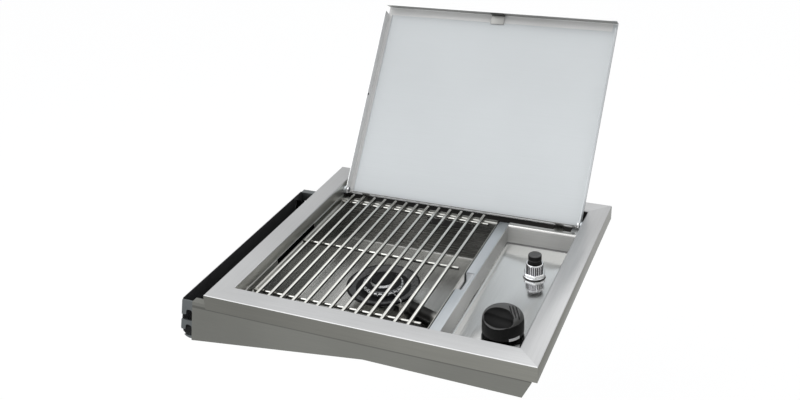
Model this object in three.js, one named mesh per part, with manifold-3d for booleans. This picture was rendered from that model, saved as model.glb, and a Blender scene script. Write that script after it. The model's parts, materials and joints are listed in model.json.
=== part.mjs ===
// Built in side burner with a grate, a recessed control tray and a folding lid.
// Millimetres, +X right, +Y to the back, +Z up. The lid stands open on its stop.
import * as THREE from 'three';
import { mergeVertices } from 'three/addons/utils/BufferGeometryUtils.js';
import Module from 'manifold-3d';

const wasm = await Module();
wasm.setup();

// Driving dimensions of the deck. Places are measured from the top frame's outer front left corner.
const frameWidth = 400;
const frameDepth = 367;
const borderWidth = 26.6;
const skirtDepth = 20;
const lipDepth = 16;
const frameSheet = 1.2;
const sheet = 1;
const insideBend = 0.8;
const seatGap = 0.3;
const overcut = 2;

// Levels below the frame's top face.
const ledgeDrop = 21;
const sideLedgeDrop = 25.7;
const panFloorDrop = 85;
const trayFloorDrop = 47.5;
const dividerDrop = 22;

// Burner well, divider and control tray.
const dividerInset = 140;
const dividerLeft = frameWidth - dividerInset;
const dividerWidth = 14;
const ledgeWidth = 10;
const frontLedge = 21.4;
const frontLedgeEnd = borderWidth + frontLedge;
const frontWallSlope = 18;
const frontWallFoot = frontLedgeEnd + frontWallSlope;
const rearWallInset = 58;
const rearWall = frameDepth - rearWallInset;
const rearLedge = 7;
const rearLedgeEnd = rearWall + rearLedge;
const trayRearInset = 62;
const trayRearWall = frameDepth - trayRearInset;
const cornerBend = 3;

// Grate.
const rodDiameter = 4.5;
const rodCount = 13;
const firstRodInset = 15;
const firstRod = borderWidth + firstRodInset;
const lastRodInset = 22.32;
const rodPitch = (dividerLeft - lastRodInset - firstRod) / (rodCount - 1);
const rodFrontInset = 15.4;
const rodFront = borderWidth + rodFrontInset;
const rodTail = 3.3;
const rodRear = rearLedgeEnd + rodTail;
const barLeftInset = 2.9;
const barLeft = borderWidth + barLeftInset;
const barRightInset = 11.5;
const barRight = dividerLeft - barRightInset;
const frontBarInset = 34.2;
const frontBar = borderWidth + frontBarInset;
const rearBarInset = 4.5;
const rearBar = rearWall - rearBarInset;
const middleBarOffset = 3.95;
const barPlaces = [frontBar, (frontBar + rearBar) / 2 + middleBarOffset, rearBar];
const weldGap = 0.2;

// Lid, with its pivot line.
const pivotInset = 48;
const pivotY = frameDepth - pivotInset;
const pivotDrop = 10.3;
const lidOpenAngle = THREE.MathUtils.degToRad(128.2);
const lidSideGap = 4.4;
const lidFrontGap = 8.8;
const lidReach = pivotY - borderWidth - lidFrontGap;
const lidTail = 3;
const lidRise = 10.1;
const lidSheet = 0.8;
const lidSkirt = 15;
const lidRearSkirt = 14;
const pinDiameter = 5;
const pinClearance = 0.3;
const pinHoleSides = 16;

// Burner, knob and igniter places.
const burnerAcrossShare = 0.37;
const burnerDepthShare = 0.4823;
const burnerX = frameWidth * burnerAcrossShare;
const burnerY = frameDepth * burnerDepthShare;
const knobInset = 70.1;
const knobDepthShare = 0.297;
const knobX = frameWidth - knobInset;
const knobY = frameDepth * knobDepthShare;
const knobPush = 2;
const igniterInset = 69;
const igniterFromWall = 66;
const igniterX = frameWidth - igniterInset;
const igniterY = trayRearWall - igniterFromWall;
const igniterPush = 5;
const travelClearance = 0.5;

// Left extension that hooks onto the grill cart.
const endTopX = -33.9;
const endFootX = -46.8;
const endTopDrop = 14;
const endFootDrop = 73;
const endCornerRadius = 12;
const endRearInset = 69;
const endRear = frameDepth - endRearInset;
const bracketSheet = 2;

// Finishes.
const finish = (color, roughness, metalness) =>
  new THREE.MeshStandardMaterial({ color, roughness, metalness });
const brushedSteel = finish(0xc4c5c6, 0.34, 0.9);
const panelSteel = finish(0x9b9b97, 0.4, 0.85);
const polishedSteel = finish(0xdcdddc, 0.22, 1);
const zincPlate = finish(0xbcc3c8, 0.42, 0.75);
const linerSteel = finish(0xd3d8da, 0.5, 0.4);
const chrome = finish(0xe2e4e6, 0.08, 1);
const brass = finish(0xb8975a, 0.35, 0.9);
const blackPaint = finish(0x1c1c1e, 0.5, 0.2);
const blackEnamel = finish(0x17181a, 0.28, 0.3);
const blackPlastic = finish(0x1b1c1c, 0.45, 0);
const whitePlastic = finish(0xe8e8ea, 0.4, 0);
const ceramic = finish(0xe6e2d8, 0.35, 0);
const springSteel = finish(0xa8a9aa, 0.3, 0.9);

const unit = new THREE.Group();

function place(name, geometry, material, parent = unit) {
  const mesh = new THREE.Mesh(geometry, material);
  mesh.name = name;
  parent.add(mesh);
  return mesh;
}

// A closed mesh becomes a solid once its shared corners are merged.
function toSolid(geometry) {
  const bare = geometry.clone();
  bare.deleteAttribute('normal');
  bare.deleteAttribute('uv');
  const merged = mergeVertices(bare);
  const corners = merged.index.array;
  const triVerts = [];
  for (let i = 0; i < corners.length; i += 3) {
    const [a, b, c] = [corners[i], corners[i + 1], corners[i + 2]];
    if (a !== b && b !== c && c !== a) triVerts.push(a, b, c);
  }
  return new wasm.Manifold(new wasm.Mesh({
    numProp: 3,
    vertProperties: new Float32Array(merged.attributes.position.array),
    triVerts: new Uint32Array(triVerts),
  }));
}

function toGeometry(solid) {
  const { vertProperties, triVerts } = solid.getMesh();
  const geometry = new THREE.BufferGeometry();
  geometry.setAttribute('position', new THREE.BufferAttribute(vertProperties, 3));
  geometry.setIndex(new THREE.BufferAttribute(triVerts, 1));
  return geometry;
}

const join = (...shapes) => toGeometry(shapes.map(toSolid).reduce((whole, next) => whole.add(next)));
const cut = (body, ...tools) =>
  toGeometry(tools.map(toSolid).reduce((rest, tool) => rest.subtract(tool), toSolid(body)));
const overlap = (a, b) => toGeometry(toSolid(a).intersect(toSolid(b)));

// Outlines drawn across an axis are extruded along it, from low to high.
const acrossX = new THREE.Matrix4().makeBasis(
  new THREE.Vector3(0, 1, 0), new THREE.Vector3(0, 0, 1), new THREE.Vector3(1, 0, 0));
const acrossY = new THREE.Matrix4().makeBasis(
  new THREE.Vector3(1, 0, 0), new THREE.Vector3(0, 0, 1), new THREE.Vector3(0, -1, 0));

function prism(outline, length) {
  const shape = outline instanceof THREE.Shape ? outline : new THREE.Shape(outline);
  return new THREE.ExtrudeGeometry(shape, { depth: length, bevelEnabled: false });
}
const alongX = (outline, low, high) =>
  prism(outline, high - low).applyMatrix4(acrossX).translate(low, 0, 0);
const alongY = (outline, low, high) =>
  prism(outline, high - low).applyMatrix4(acrossY).translate(0, high, 0);

const corners = (points) => points.map(([u, v]) => new THREE.Vector2(u, v));

function box(x0, x1, y0, y1, z0, z1) {
  return new THREE.BoxGeometry(x1 - x0, y1 - y0, z1 - z0)
    .translate((x0 + x1) / 2, (y0 + y1) / 2, (z0 + z1) / 2);
}

// Round bar from low to high along an axis, standing at (0, 0) of the other two.
function rod(radius, length, sides) {
  return new THREE.CylinderGeometry(radius, radius, length, sides);
}
const rodX = (radius, low, high, sides) => rod(radius, high - low, sides)
  .rotateZ(-Math.PI / 2).translate((low + high) / 2, 0, 0);
const rodY = (radius, low, high, sides) => rod(radius, high - low, sides).translate(0, (low + high) / 2, 0);
const rodZ = (radius, low, high, sides) => rod(radius, high - low, sides)
  .rotateX(Math.PI / 2).translate(0, 0, (low + high) / 2);

// Turned piece: the profile runs counterclockwise in radius and height.
function turned(profile, sides) {
  return new THREE.LatheGeometry(corners(profile), sides).rotateX(Math.PI / 2);
}

// Each inner corner of a path becomes an arc of the radius given for it.
function rounded(path, radii, steps = 3) {
  const points = [];
  path.forEach((corner, i) => {
    if (!radii[i]) {
      points.push(corner.clone());
      return;
    }
    const back = path[i - 1].clone().sub(corner).normalize();
    const ahead = path[i + 1].clone().sub(corner).normalize();
    const half = Math.acos(THREE.MathUtils.clamp(back.dot(ahead), -1, 1)) / 2;
    const start = corner.clone().addScaledVector(back, radii[i] / Math.tan(half));
    const end = corner.clone().addScaledVector(ahead, radii[i] / Math.tan(half));
    const middle = back.clone().add(ahead).normalize();
    const centre = corner.clone().addScaledVector(middle, radii[i] / Math.sin(half));
    const from = start.clone().sub(centre);
    const sweep = Math.atan2(from.cross(end.clone().sub(centre)), from.dot(end.clone().sub(centre)));
    for (let step = 0; step <= steps; step += 1) {
      points.push(centre.clone().add(from.clone().rotateAround(new THREE.Vector2(), sweep * step / steps)));
    }
  });
  return points;
}

// The path moved to its left by a distance, with mitred corners.
function offsetPath(path, distance) {
  const left = (a, b) => b.clone().sub(a).normalize().rotateAround(new THREE.Vector2(), Math.PI / 2);
  return path.map((corner, i) => {
    const before = i > 0 ? left(path[i - 1], corner) : left(corner, path[i + 1]);
    const after = i < path.length - 1 ? left(corner, path[i + 1]) : before;
    const middle = before.clone().add(after).normalize();
    return corner.clone().addScaledVector(middle, distance / middle.dot(after));
  });
}

// Section of a folded sheet: its face follows the path and its thickness lies to the left of it.
function foldedSheet(points, thickness, bend = insideBend) {
  const face = corners(points);
  const back = offsetPath(face, thickness);
  const turn = (i) => face[i].clone().sub(face[i - 1]).cross(face[i + 1].clone().sub(face[i]));
  const radius = (i, outside) => {
    if (i === 0 || i === face.length - 1) return 0;
    return turn(i) > 0 === outside ? bend + thickness : bend;
  };
  const faceArcs = rounded(face, face.map((_, i) => radius(i, true)));
  const backArcs = rounded(back, back.map((_, i) => radius(i, false)));
  return new THREE.Shape([...faceArcs, ...backArcs.reverse()]);
}

// Inner edges of the opening in the frame.
const openLeft = borderWidth;
const openRight = frameWidth - borderWidth;
const openFront = borderWidth;
const openRear = frameDepth - borderWidth;

// Top frame: a channel folded from sheet, mitred at its four corners.
function mitredRing(profile) {
  const loop = profile.getPoints();
  const ring = ({ x: inset, y: level }) => [
    [inset, inset, level],
    [frameWidth - inset, inset, level],
    [frameWidth - inset, frameDepth - inset, level],
    [inset, frameDepth - inset, level],
  ];
  const rings = loop.map(ring);
  const positions = rings.flat(2);
  const index = [];
  for (let j = 0; j < rings.length; j += 1) {
    const next = (j + 1) % rings.length;
    for (let k = 0; k < 4; k += 1) {
      const turnOn = (k + 1) % 4;
      const [a0, a1] = [4 * j + k, 4 * j + turnOn];
      const [b0, b1] = [4 * next + k, 4 * next + turnOn];
      index.push(a0, b1, a1, a0, b0, b1);
    }
  }
  const geometry = new THREE.BufferGeometry();
  geometry.setAttribute('position', new THREE.Float32BufferAttribute(positions, 3));
  geometry.setIndex(index);
  return geometry;
}

function topFrame() {
  const channel = foldedSheet([
    [borderWidth, -lipDepth], [borderWidth, 0], [0, 0], [0, -skirtDepth],
  ], frameSheet);
  const holeRadius = pinDiameter / 2 + pinClearance;
  const hole = (low, high) => rodX(holeRadius, low, high, pinHoleSides).translate(0, pivotY, -pivotDrop);
  return cut(mitredRing(channel),
    hole(openLeft - frameSheet - overcut, openLeft + overcut),
    hole(openRight - overcut, openRight + frameSheet + overcut));
}
place('top_frame', topFrame(), brushedSteel);

// Front panel: its lower edge rises from the deep left end to a kink and stays shallow to the right.
const skinInset = frameSheet + seatGap;
const panelTopDrop = 8;
const panelLeftTop = -18.3;
const panelLeftFoot = -29.8;
const panelFootDrop = 72.4;
const kinkShare = 0.504;
const kinkX = frameWidth * kinkShare;
const kinkDrop = 42.4;
const rightFootOutset = 10.2;
const rightFootX = openRight + rightFootOutset;
const rightFootDrop = 44.4;
const rightTopInset = 6.4;
const rightTopX = frameWidth - rightTopInset;
const rightTopDrop = 23;
const returnDepth = 9;

const leftFootDropAtFrame = THREE.MathUtils.mapLinear(0, panelLeftFoot, kinkX, panelFootDrop, kinkDrop);

function frontPanel() {
  const face = alongY(corners([
    [panelLeftFoot, -panelFootDrop],
    [panelLeftTop, -endTopDrop],
    [-seatGap, -endTopDrop],
    [-seatGap, -skirtDepth - seatGap],
    [skinInset, -skirtDepth - seatGap],
    [skinInset, -panelTopDrop],
    [rightTopX, -panelTopDrop],
    [rightTopX, -rightTopDrop],
    [rightFootX, -rightFootDrop],
    [kinkX, -kinkDrop],
  ].reverse()), skinInset, skinInset + sheet);
  const returnFlange = box(panelLeftTop, -seatGap, skinInset, skinInset + returnDepth,
    -endTopDrop - sheet, -endTopDrop);
  return join(face, returnFlange);
}
place('front_panel', frontPanel(), panelSteel);

const rearPanelFace = frameDepth - skinInset;
function rearPanel() {
  return alongY(corners([
    [skinInset, -panelFootDrop],
    [rightFootX, -panelFootDrop],
    [rightFootX, -rightFootDrop],
    [rightTopX, -rightTopDrop],
    [rightTopX, -panelTopDrop],
    [skinInset, -panelTopDrop],
  ]), rearPanelFace - sheet, rearPanelFace);
}
place('rear_panel', rearPanel(), panelSteel);

// Right end panel slopes in from under the frame, its foot turned inwards.
const trayPanelGap = 2.9;
function rightPanel() {
  const section = foldedSheet([
    [openRight + seatGap + sheet + trayPanelGap, -rightFootDrop + sheet],
    [rightFootX - sheet, -rightFootDrop + sheet],
    [rightTopX - sheet, -rightTopDrop],
    [rightTopX - sheet, -panelTopDrop],
  ], sheet);
  return alongY(section, skinInset + sheet + seatGap, rearPanelFace - sheet - seatGap);
}
place('right_panel', rightPanel(), panelSteel);

// Left end: black channel between the hook brackets, with a sloping outer wall and a round lower corner.
const bracketFront = skinInset + sheet + seatGap;
const channelFront = bracketFront + bracketSheet + seatGap;
const channelRightX = 2.5;
const channelRise = 0.8;
const channelRightDrop = skirtDepth + seatGap + channelRise;

function endChannel() {
  const floorRight = [channelRightX, -leftFootDropAtFrame + sheet];
  const section = foldedSheet([
    [endTopX, -endTopDrop],
    [endFootX, -endFootDrop],
    floorRight,
    [channelRightX, -channelRightDrop],
  ], sheet, endCornerRadius - sheet);
  return alongY(section, channelFront, endRear);
}

// Hook bracket: a plate whose two slots enter from the sloping edge and turn up.
const hookSlotWidth = 8;
const hookSlotReach = 15.6;
const hookSlotRise = 12;
const upperSlotDrop = 40.5;
const slotSpacing = 22.5;
const bracketRight = -3;
const bracketTopStep = 1.3;

const endSlope = (endFootX - endTopX) / (endFootDrop - endTopDrop);
const endXAt = (drop) => endTopX + endSlope * (drop - endTopDrop);

function hookSlot(drop) {
  const mouth = endXAt(drop) - overcut;
  const deep = endXAt(drop) + hookSlotReach;
  const half = hookSlotWidth / 2;
  const shape = rounded(corners([
    [mouth, -drop - half],
    [deep, -drop - half],
    [deep + hookSlotWidth / 4, -drop + hookSlotRise],
    [deep - hookSlotWidth * 3 / 4, -drop + hookSlotRise],
    [deep - hookSlotWidth, -drop + half],
    [mouth, -drop + half],
  ]), [0, half / 2, half * 3 / 4, half * 3 / 4, half / 2, 0]);
  return shape;
}

function hookBracket(front) {
  const plate = rounded(corners([
    [bracketRight, -endTopDrop - sheet - seatGap],
    [endTopX + seatGap, -endTopDrop - sheet - seatGap],
    [endFootX + seatGap, -endFootDrop + seatGap],
    [bracketRight, -leftFootDropAtFrame + seatGap],
  ]), [0, 0, endCornerRadius, 0], 6);
  const rear = front + bracketSheet;
  const slots = [upperSlotDrop, upperSlotDrop + slotSpacing]
    .map((drop) => alongY(hookSlot(drop), front - overcut, rear + overcut));
  return cut(alongY(plate, front, rear), ...slots);
}
place('end_channel', endChannel(), blackPaint);
place('hook_bracket_front', hookBracket(bracketFront), zincPlate);

// The rear bracket carries the flange that closes the channel's far end from above.
const rearFlangeDepth = 9;
function rearBracket() {
  const front = endRear + seatGap;
  const flange = box(endTopX + seatGap, bracketRight, front, front + rearFlangeDepth,
    -endTopDrop - sheet - seatGap - bracketSheet, -endTopDrop - sheet - seatGap);
  return join(hookBracket(front), flange);
}
place('hook_bracket_rear', rearBracket(), zincPlate);

// Short panel closing the body's left side behind the channel.
function leftRearPanel() {
  const front = endRear + bracketSheet + 2 * seatGap;
  return box(skinInset, skinInset + sheet, front, rearPanelFace - sheet - seatGap,
    -leftFootDropAtFrame + sheet, -skirtDepth - seatGap);
}
place('left_rear_panel', leftRearPanel(), panelSteel);

// A pressed pan lies between two bodies, each the overlap of an outline across and an outline lengthways.
const bendRadii = (points) => points.map((_, i) => (i === 0 || i === points.length - 1 ? 0 : cornerBend));

function panHollow(points, rise) {
  const last = points[points.length - 1];
  return [...rounded(points, bendRadii(points)), new THREE.Vector2(last.x, rise),
    new THREE.Vector2(points[0].x, rise)];
}

function panBody(points) {
  const under = offsetPath(points, -sheet);
  const last = points[points.length - 1];
  return [...rounded(under, bendRadii(under)), last, new THREE.Vector2(last.x, 0),
    new THREE.Vector2(points[0].x, 0), points[0]];
}

function sheetPan(acrossPoints, lengthwaysPoints, ...tools) {
  const across = corners(acrossPoints);
  const lengthways = corners(lengthwaysPoints);
  const [x0, x1] = [across[0].x - overcut, across[across.length - 1].x + overcut];
  const [y0, y1] = [lengthways[0].x - overcut, lengthways[lengthways.length - 1].x + overcut];
  const body = overlap(alongY(panBody(across), y0, y1), alongX(panBody(lengthways), x0, x1));
  const hollow = overlap(alongY(panHollow(across, overcut), y0, y1),
    alongX(panHollow(lengthways, overcut), x0, x1));
  return cut(body, hollow, ...tools);
}

// Burner pan: ledges carry the grate, the deep well holds the burner.
const flangeReach = skinInset + sheet + seatGap + sheet;
const panRight = dividerLeft - seatGap - sheet;
const wellDraft = 2;
const slotLength = 101;
const slotShift = 2.5;
const slotFront = burnerY - slotLength / 2 - slotShift;
const slotRear = slotFront + slotLength;
const slotTopDrop = 17.6;
const slotFootDrop = 24.6;
const ventWidth = 64;
const ventShift = 10;
const ventLeft = burnerX + ventShift;
const ventRight = ventLeft + ventWidth;
const ventTopDrop = 25;
const ventFootDrop = 39;
const tubeDiameter = 15;
const tubeDrop = 75;
const tubeHoleGap = 1;

const tubeTurn = Math.atan2(knobY - burnerY, knobX - burnerX);
function alongTube(geometry) {
  return geometry.rotateZ(tubeTurn).translate(burnerX, burnerY, -tubeDrop);
}

function burnerPan() {
  const across = [
    [flangeReach, -lipDepth - seatGap],
    [openLeft, -lipDepth - seatGap],
    [openLeft, -sideLedgeDrop],
    [openLeft + ledgeWidth, -sideLedgeDrop],
    [openLeft + ledgeWidth + wellDraft, -panFloorDrop],
    [panRight - wellDraft, -panFloorDrop],
    [panRight, -dividerDrop],
  ];
  const lengthways = [
    [flangeReach, -ledgeDrop],
    [frontLedgeEnd, -ledgeDrop],
    [frontWallFoot, -panFloorDrop],
    [rearWall, -panFloorDrop],
    [rearWall, -ledgeDrop],
    [rearLedgeEnd, -ledgeDrop],
  ];
  return [across, lengthways];
}

const tubeHoleReach = 40;
function tubeHole() {
  return alongTube(rodX(tubeDiameter / 2 + tubeHoleGap,
    dividerLeft - burnerX - tubeHoleReach / 2, dividerLeft - burnerX + tubeHoleReach, 20));
}

const electrodeReach = 55;
const electrodeTurn = THREE.MathUtils.degToRad(-42);
const ceramicDiameter = 6.4;
const electrodeAt = (geometry) => geometry.translate(electrodeReach, 0, 0).rotateZ(electrodeTurn)
  .translate(burnerX, burnerY, 0);

function electrodeHole() {
  return electrodeAt(rodZ(ceramicDiameter / 2 + seatGap, -panFloorDrop - sheet - overcut,
    -panFloorDrop + overcut, 16));
}

const [panAcross, panLengthways] = burnerPan();
place('burner_pan', sheetPan(panAcross, panLengthways,
  box(openLeft - overcut, openLeft + overcut, slotFront, slotRear, -slotFootDrop, -slotTopDrop),
  box(ventLeft, ventRight, rearWall - overcut, rearWall + overcut, -ventFootDrop, -ventTopDrop),
  tubeHole(), electrodeHole()), panelSteel);

// Divider: an angle strip with a notch for the burner's air, between well and tray.
const dividerWeb = 20;
const notchLength = 39;
const notchShift = 3;
const notchRear = burnerY + notchShift;
const notchFront = notchRear - notchLength;
const notchWidth = 11.5;
const notchDrop = 14;

function dividerPlate() {
  const section = foldedSheet([
    [dividerLeft, -dividerDrop - dividerWeb],
    [dividerLeft, -dividerDrop],
    [dividerLeft + dividerWidth, -dividerDrop],
  ].reverse(), sheet);
  const strip = alongY(section, flangeReach, rearLedgeEnd);
  const notch = box(dividerLeft - overcut, dividerLeft + notchWidth, notchFront, notchRear,
    -dividerDrop - notchDrop, -dividerDrop + overcut);
  return cut(strip, notch);
}
place('divider_plate', dividerPlate(), zincPlate);

// Control tray: polished, with holes for the valve stem and the igniter.
const trayLeft = dividerLeft + dividerWidth + seatGap + sheet;
const trayRight = openRight + seatGap;
const trayFlangeEnd = rightTopX - sheet - trayPanelGap;
const stemHoleDiameter = 12;
const igniterHoleDiameter = 16;
const trayRearDraft = 3.6;
const trayLedgeWidth = 7.5;

function controlTray() {
  const across = [
    [trayLeft, -dividerDrop],
    [trayLeft, -trayFloorDrop],
    [trayRight, -trayFloorDrop],
    [trayRight, -lipDepth - seatGap],
    [trayFlangeEnd, -lipDepth - seatGap],
  ];
  const lengthways = [
    [flangeReach, -lipDepth - seatGap],
    [openFront, -lipDepth - seatGap],
    [openFront, -trayFloorDrop],
    [trayRearWall, -trayFloorDrop],
    [trayRearWall + trayRearDraft, -ledgeDrop],
    [trayRearWall + trayRearDraft + trayLedgeWidth, -ledgeDrop],
  ];
  const floorHole = (diameter, x, y) => rodZ(diameter / 2, -trayFloorDrop - sheet - overcut,
    -trayFloorDrop + overcut, 24).translate(x, y, 0);
  return sheetPan(across, lengthways,
    floorHole(stemHoleDiameter, knobX, knobY),
    floorHole(igniterHoleDiameter, igniterX, igniterY));
}
place('control_tray', controlTray(), polishedSteel);

// Straps tie the rear ledges to the frame's rear lip.
const strapWidth = 12;
const leftStrap = 50;
const trayStrapInsets = [66, 43];
const strapPlaces = [leftStrap, ...trayStrapInsets.map((inset) => frameWidth - inset)];
const strapRise = 7.4;
const strapRiseStart = openRear - strapRise;
const strapRun = 3;
const strapTail = 3;
strapPlaces.forEach((left, i) => {
  const overPan = left < dividerLeft;
  const front = (overPan ? rearWall : trayRearWall + trayRearDraft) + sheet + cornerBend;
  const section = foldedSheet([
    [openRear + frameSheet + strapTail, -lipDepth - seatGap],
    [strapRiseStart + strapRun, -lipDepth - seatGap],
    [strapRiseStart, -ledgeDrop - sheet - seatGap],
    [front, -ledgeDrop - sheet - seatGap],
  ], sheet);
  place(`rear_strap_${i + 1}`, alongX(section, left, left + strapWidth), polishedSteel);
});

// Grate: rods along the depth, welded on cross bars below them.
const rodRadius = rodDiameter / 2;
const rodLevel = -ledgeDrop + rodRadius + weldGap;
const barLevel = rodLevel - rodDiameter - weldGap;
const rodSides = 12;
const endChamfer = 0.8;

function chamferedRod(low, high) {
  return turned([
    [0, low], [rodRadius - endChamfer, low], [rodRadius, low + endChamfer],
    [rodRadius, high - endChamfer], [rodRadius - endChamfer, high], [0, high],
  ], rodSides);
}
for (let i = 0; i < rodCount; i += 1) {
  const geometry = toGeometry(toSolid(chamferedRod(rodFront, rodRear).rotateX(-Math.PI / 2)));
  geometry.translate(firstRod + i * rodPitch, 0, rodLevel);
  place(`grate_rod_${String(i + 1).padStart(2, '0')}`, geometry, polishedSteel);
}
barPlaces.forEach((y, i) => {
  const geometry = toGeometry(toSolid(chamferedRod(barLeft, barRight).rotateY(Math.PI / 2)));
  geometry.translate(0, y, barLevel);
  place(`grate_bar_${i + 1}`, geometry, polishedSteel);
});

// Burner: an enamelled dish with a bright port ring and a black cap, on a cast body with its mixing tube.
const dishDiameter = 96;
const dishRimDrop = 61;
const dishDepth = 6;
const dishBore = 30;
const dishSheet = 2.4;
const ringOuter = 54;
const ringInner = 42;
const ringHeight = 5;
const portCount = 24;
const portWidth = 1.6;
const portDepth = 2.4;
const capDiameter = 30;
const capHeight = 6;
const chamberDiameter = 42;
const burnerSides = 40;
const tubeSides = 20;

const onBurner = (geometry) => geometry.translate(burnerX, burnerY, 0);
const dishFoot = -dishRimDrop - dishDepth;
const dishFloor = dishFoot + dishSheet;

function burnerDish() {
  const outer = dishDiameter / 2;
  const bore = dishBore / 2;
  const slopeStart = outer - 2 * dishDepth;
  return onBurner(turned([
    [bore, dishFoot], [slopeStart, dishFoot], [outer, -dishRimDrop - dishSheet], [outer, -dishRimDrop],
    [outer - dishSheet, -dishRimDrop], [slopeStart, dishFloor], [bore, dishFloor], [bore, dishFoot],
  ], burnerSides));
}

const ringFoot = dishFloor + seatGap;
const ringTop = ringFoot + ringHeight;
const ringChamfer = 1;

function portRing() {
  const outer = ringOuter / 2;
  const inner = ringInner / 2;
  const ring = turned([
    [inner, ringFoot], [outer, ringFoot], [outer, ringTop - ringChamfer],
    [outer - ringChamfer, ringTop], [inner, ringTop], [inner, ringFoot],
  ], burnerSides);
  const ports = [];
  for (let i = 0; i < portCount; i += 1) {
    const port = box(inner - overcut, outer + overcut, -portWidth / 2, portWidth / 2,
      ringTop - portDepth, ringTop + overcut);
    ports.push(port.rotateZ((i + 1 / 2) * 2 * Math.PI / portCount));
  }
  return onBurner(cut(ring, ...ports));
}

const capFoot = ringTop + seatGap;
const capPlate = 1.4;

function burnerCap() {
  const plate = (ringOuter + ringInner) / 4;
  const crown = capDiameter / 2;
  const top = capFoot + capHeight;
  return onBurner(turned([
    [0, capFoot], [plate, capFoot], [plate, capFoot + capPlate],
    [crown + capPlate, capFoot + capPlate * 3 / 2],
    [crown, top - capPlate], [crown - capPlate, top], [0, top],
  ], burnerSides));
}

const chamberFoot = -panFloorDrop + seatGap;
const chamberTop = dishFoot - seatGap;
const chamberBend = 3;
const valveReach = Math.hypot(knobX - burnerX, knobY - burnerY);
const mouthStandoff = 39.26;
const mouthReach = valveReach - mouthStandoff;
const mouthDiameter = 21;
const mouthFlare = 14;
const tubeWall = 1.5;

function burnerBody() {
  const chamber = turned([
    [0, chamberFoot], [chamberDiameter / 2 - chamberBend, chamberFoot],
    [chamberDiameter / 2, chamberFoot + chamberBend], [chamberDiameter / 2, chamberTop - chamberBend],
    [chamberDiameter / 2 - chamberBend, chamberTop], [0, chamberTop],
  ], burnerSides).translate(burnerX, burnerY, 0);
  const start = chamberDiameter / 4;
  const flared = (wall, from, end) => turned([
    [0, from], [tubeDiameter / 2 - wall, from], [tubeDiameter / 2 - wall, mouthReach - mouthFlare],
    [mouthDiameter / 2 - wall, end], [0, end],
  ], tubeSides).rotateY(Math.PI / 2);
  const tube = alongTube(flared(0, start, mouthReach));
  const bore = alongTube(flared(tubeWall, 2 * start, mouthReach + overcut));
  return cut(join(chamber, tube), bore);
}

// Air shutter: a cup over the tube's mouth, open at its sides, with a hole for the jet.
const shutterWall = 1;
const shutterLength = 13;
const shutterStandoff = 4;
const jetDiameter = 6;
const jetGap = 1.2;

function airShutter() {
  const inner = mouthDiameter / 2 + seatGap;
  const outer = inner + shutterWall;
  const front = mouthReach + shutterStandoff;
  const cup = turned([
    [inner, front - shutterLength], [outer, front - shutterLength], [outer, front],
    [jetDiameter / 2 + jetGap, front], [jetDiameter / 2 + jetGap, front - shutterWall],
    [inner, front - shutterWall], [inner, front - shutterLength],
  ], tubeSides).rotateY(Math.PI / 2);
  const windowWidth = inner;
  const slot = box(front - shutterLength + 2 * shutterWall, front - 2 * shutterWall,
    -windowWidth / 2, windowWidth / 2, -outer - overcut, outer + overcut);
  return alongTube(cut(cup, slot));
}
place('burner_body', burnerBody(), blackEnamel);
place('burner_dish', burnerDish(), blackEnamel);
place('burner_ring', portRing(), springSteel);
place('burner_cap', burnerCap(), blackEnamel);
place('air_shutter', airShutter(), zincPlate);

// Gas valve below the tray: flange, barrel, outlet towards the burner and inlet towards the back.
const valveDiameter = 24;
const valveFlangeWidth = 36;
const valveFlangeDepth = 26;
const valveFlangeSheet = 2;
const valveFootDrop = 88;
const valveNeckDiameter = 18;
const valveNeckLength = 5;
const stemDiameter = 8;
const stemGap = 0.4;
const stemFootDrop = 62;
const stemTopDrop = 30;
const stemBoreDrop = stemFootDrop + knobPush + 3 * travelClearance;
const outletDiameter = 12;
const outletLength = 10;
const inletDiameter = 15;
const inletLength = 16;
const valveSides = 24;
const hexSides = 6;

const atKnob = (geometry) => geometry.translate(knobX, knobY, 0);
const trayUnderside = -trayFloorDrop - sheet;
const valveTop = trayUnderside - seatGap;
const jetBase = valveReach - valveDiameter / 2 - outletLength;

function valveBody() {
  const barrelTop = valveTop - valveFlangeSheet - valveNeckLength;
  const flange = box(-valveFlangeWidth / 2, valveFlangeWidth / 2, -valveFlangeDepth / 2, valveFlangeDepth / 2,
    valveTop - valveFlangeSheet, valveTop);
  const neck = rodZ(valveNeckDiameter / 2, barrelTop - overcut, valveTop - valveFlangeSheet / 2, valveSides);
  const barrel = rodZ(valveDiameter / 2, -valveFootDrop, barrelTop, valveSides);
  const inlet = rodY(inletDiameter / 2, 0, valveDiameter / 2 + inletLength, tubeSides)
    .translate(0, 0, -tubeDrop);
  const outlet = alongTube(rodX(outletDiameter / 2, jetBase, valveReach, hexSides));
  const stemBore = rodZ(stemDiameter / 2 + stemGap, -stemBoreDrop, valveTop + overcut, valveSides);
  return cut(join(atKnob(join(flange, neck, barrel, inlet)), outlet), atKnob(stemBore));
}

function gasJet() {
  const front = mouthReach + shutterStandoff / 2;
  const shoulder = mouthReach + 2 * shutterStandoff;
  return alongTube(turned([
    [0, front], [jetDiameter / 4, front], [jetDiameter / 2, front + shutterWall],
    [jetDiameter / 2, shoulder], [outletDiameter / 2 - shutterWall, shoulder],
    [outletDiameter / 2 - shutterWall, jetBase - seatGap], [0, jetBase - seatGap],
  ], 12).rotateY(Math.PI / 2));
}

// Inlet fitting: hexagon, thread relief and a flat ended spigot with its gas way.
const hexWidth = 19;
const hexLength = 8;
const spigotDiameter = 16;
const spigotLength = 14;
const gasWayDiameter = 8;
const inletStart = knobY + valveDiameter / 2 + inletLength + seatGap;
const inletEnd = inletStart + hexLength + spigotLength;

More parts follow.
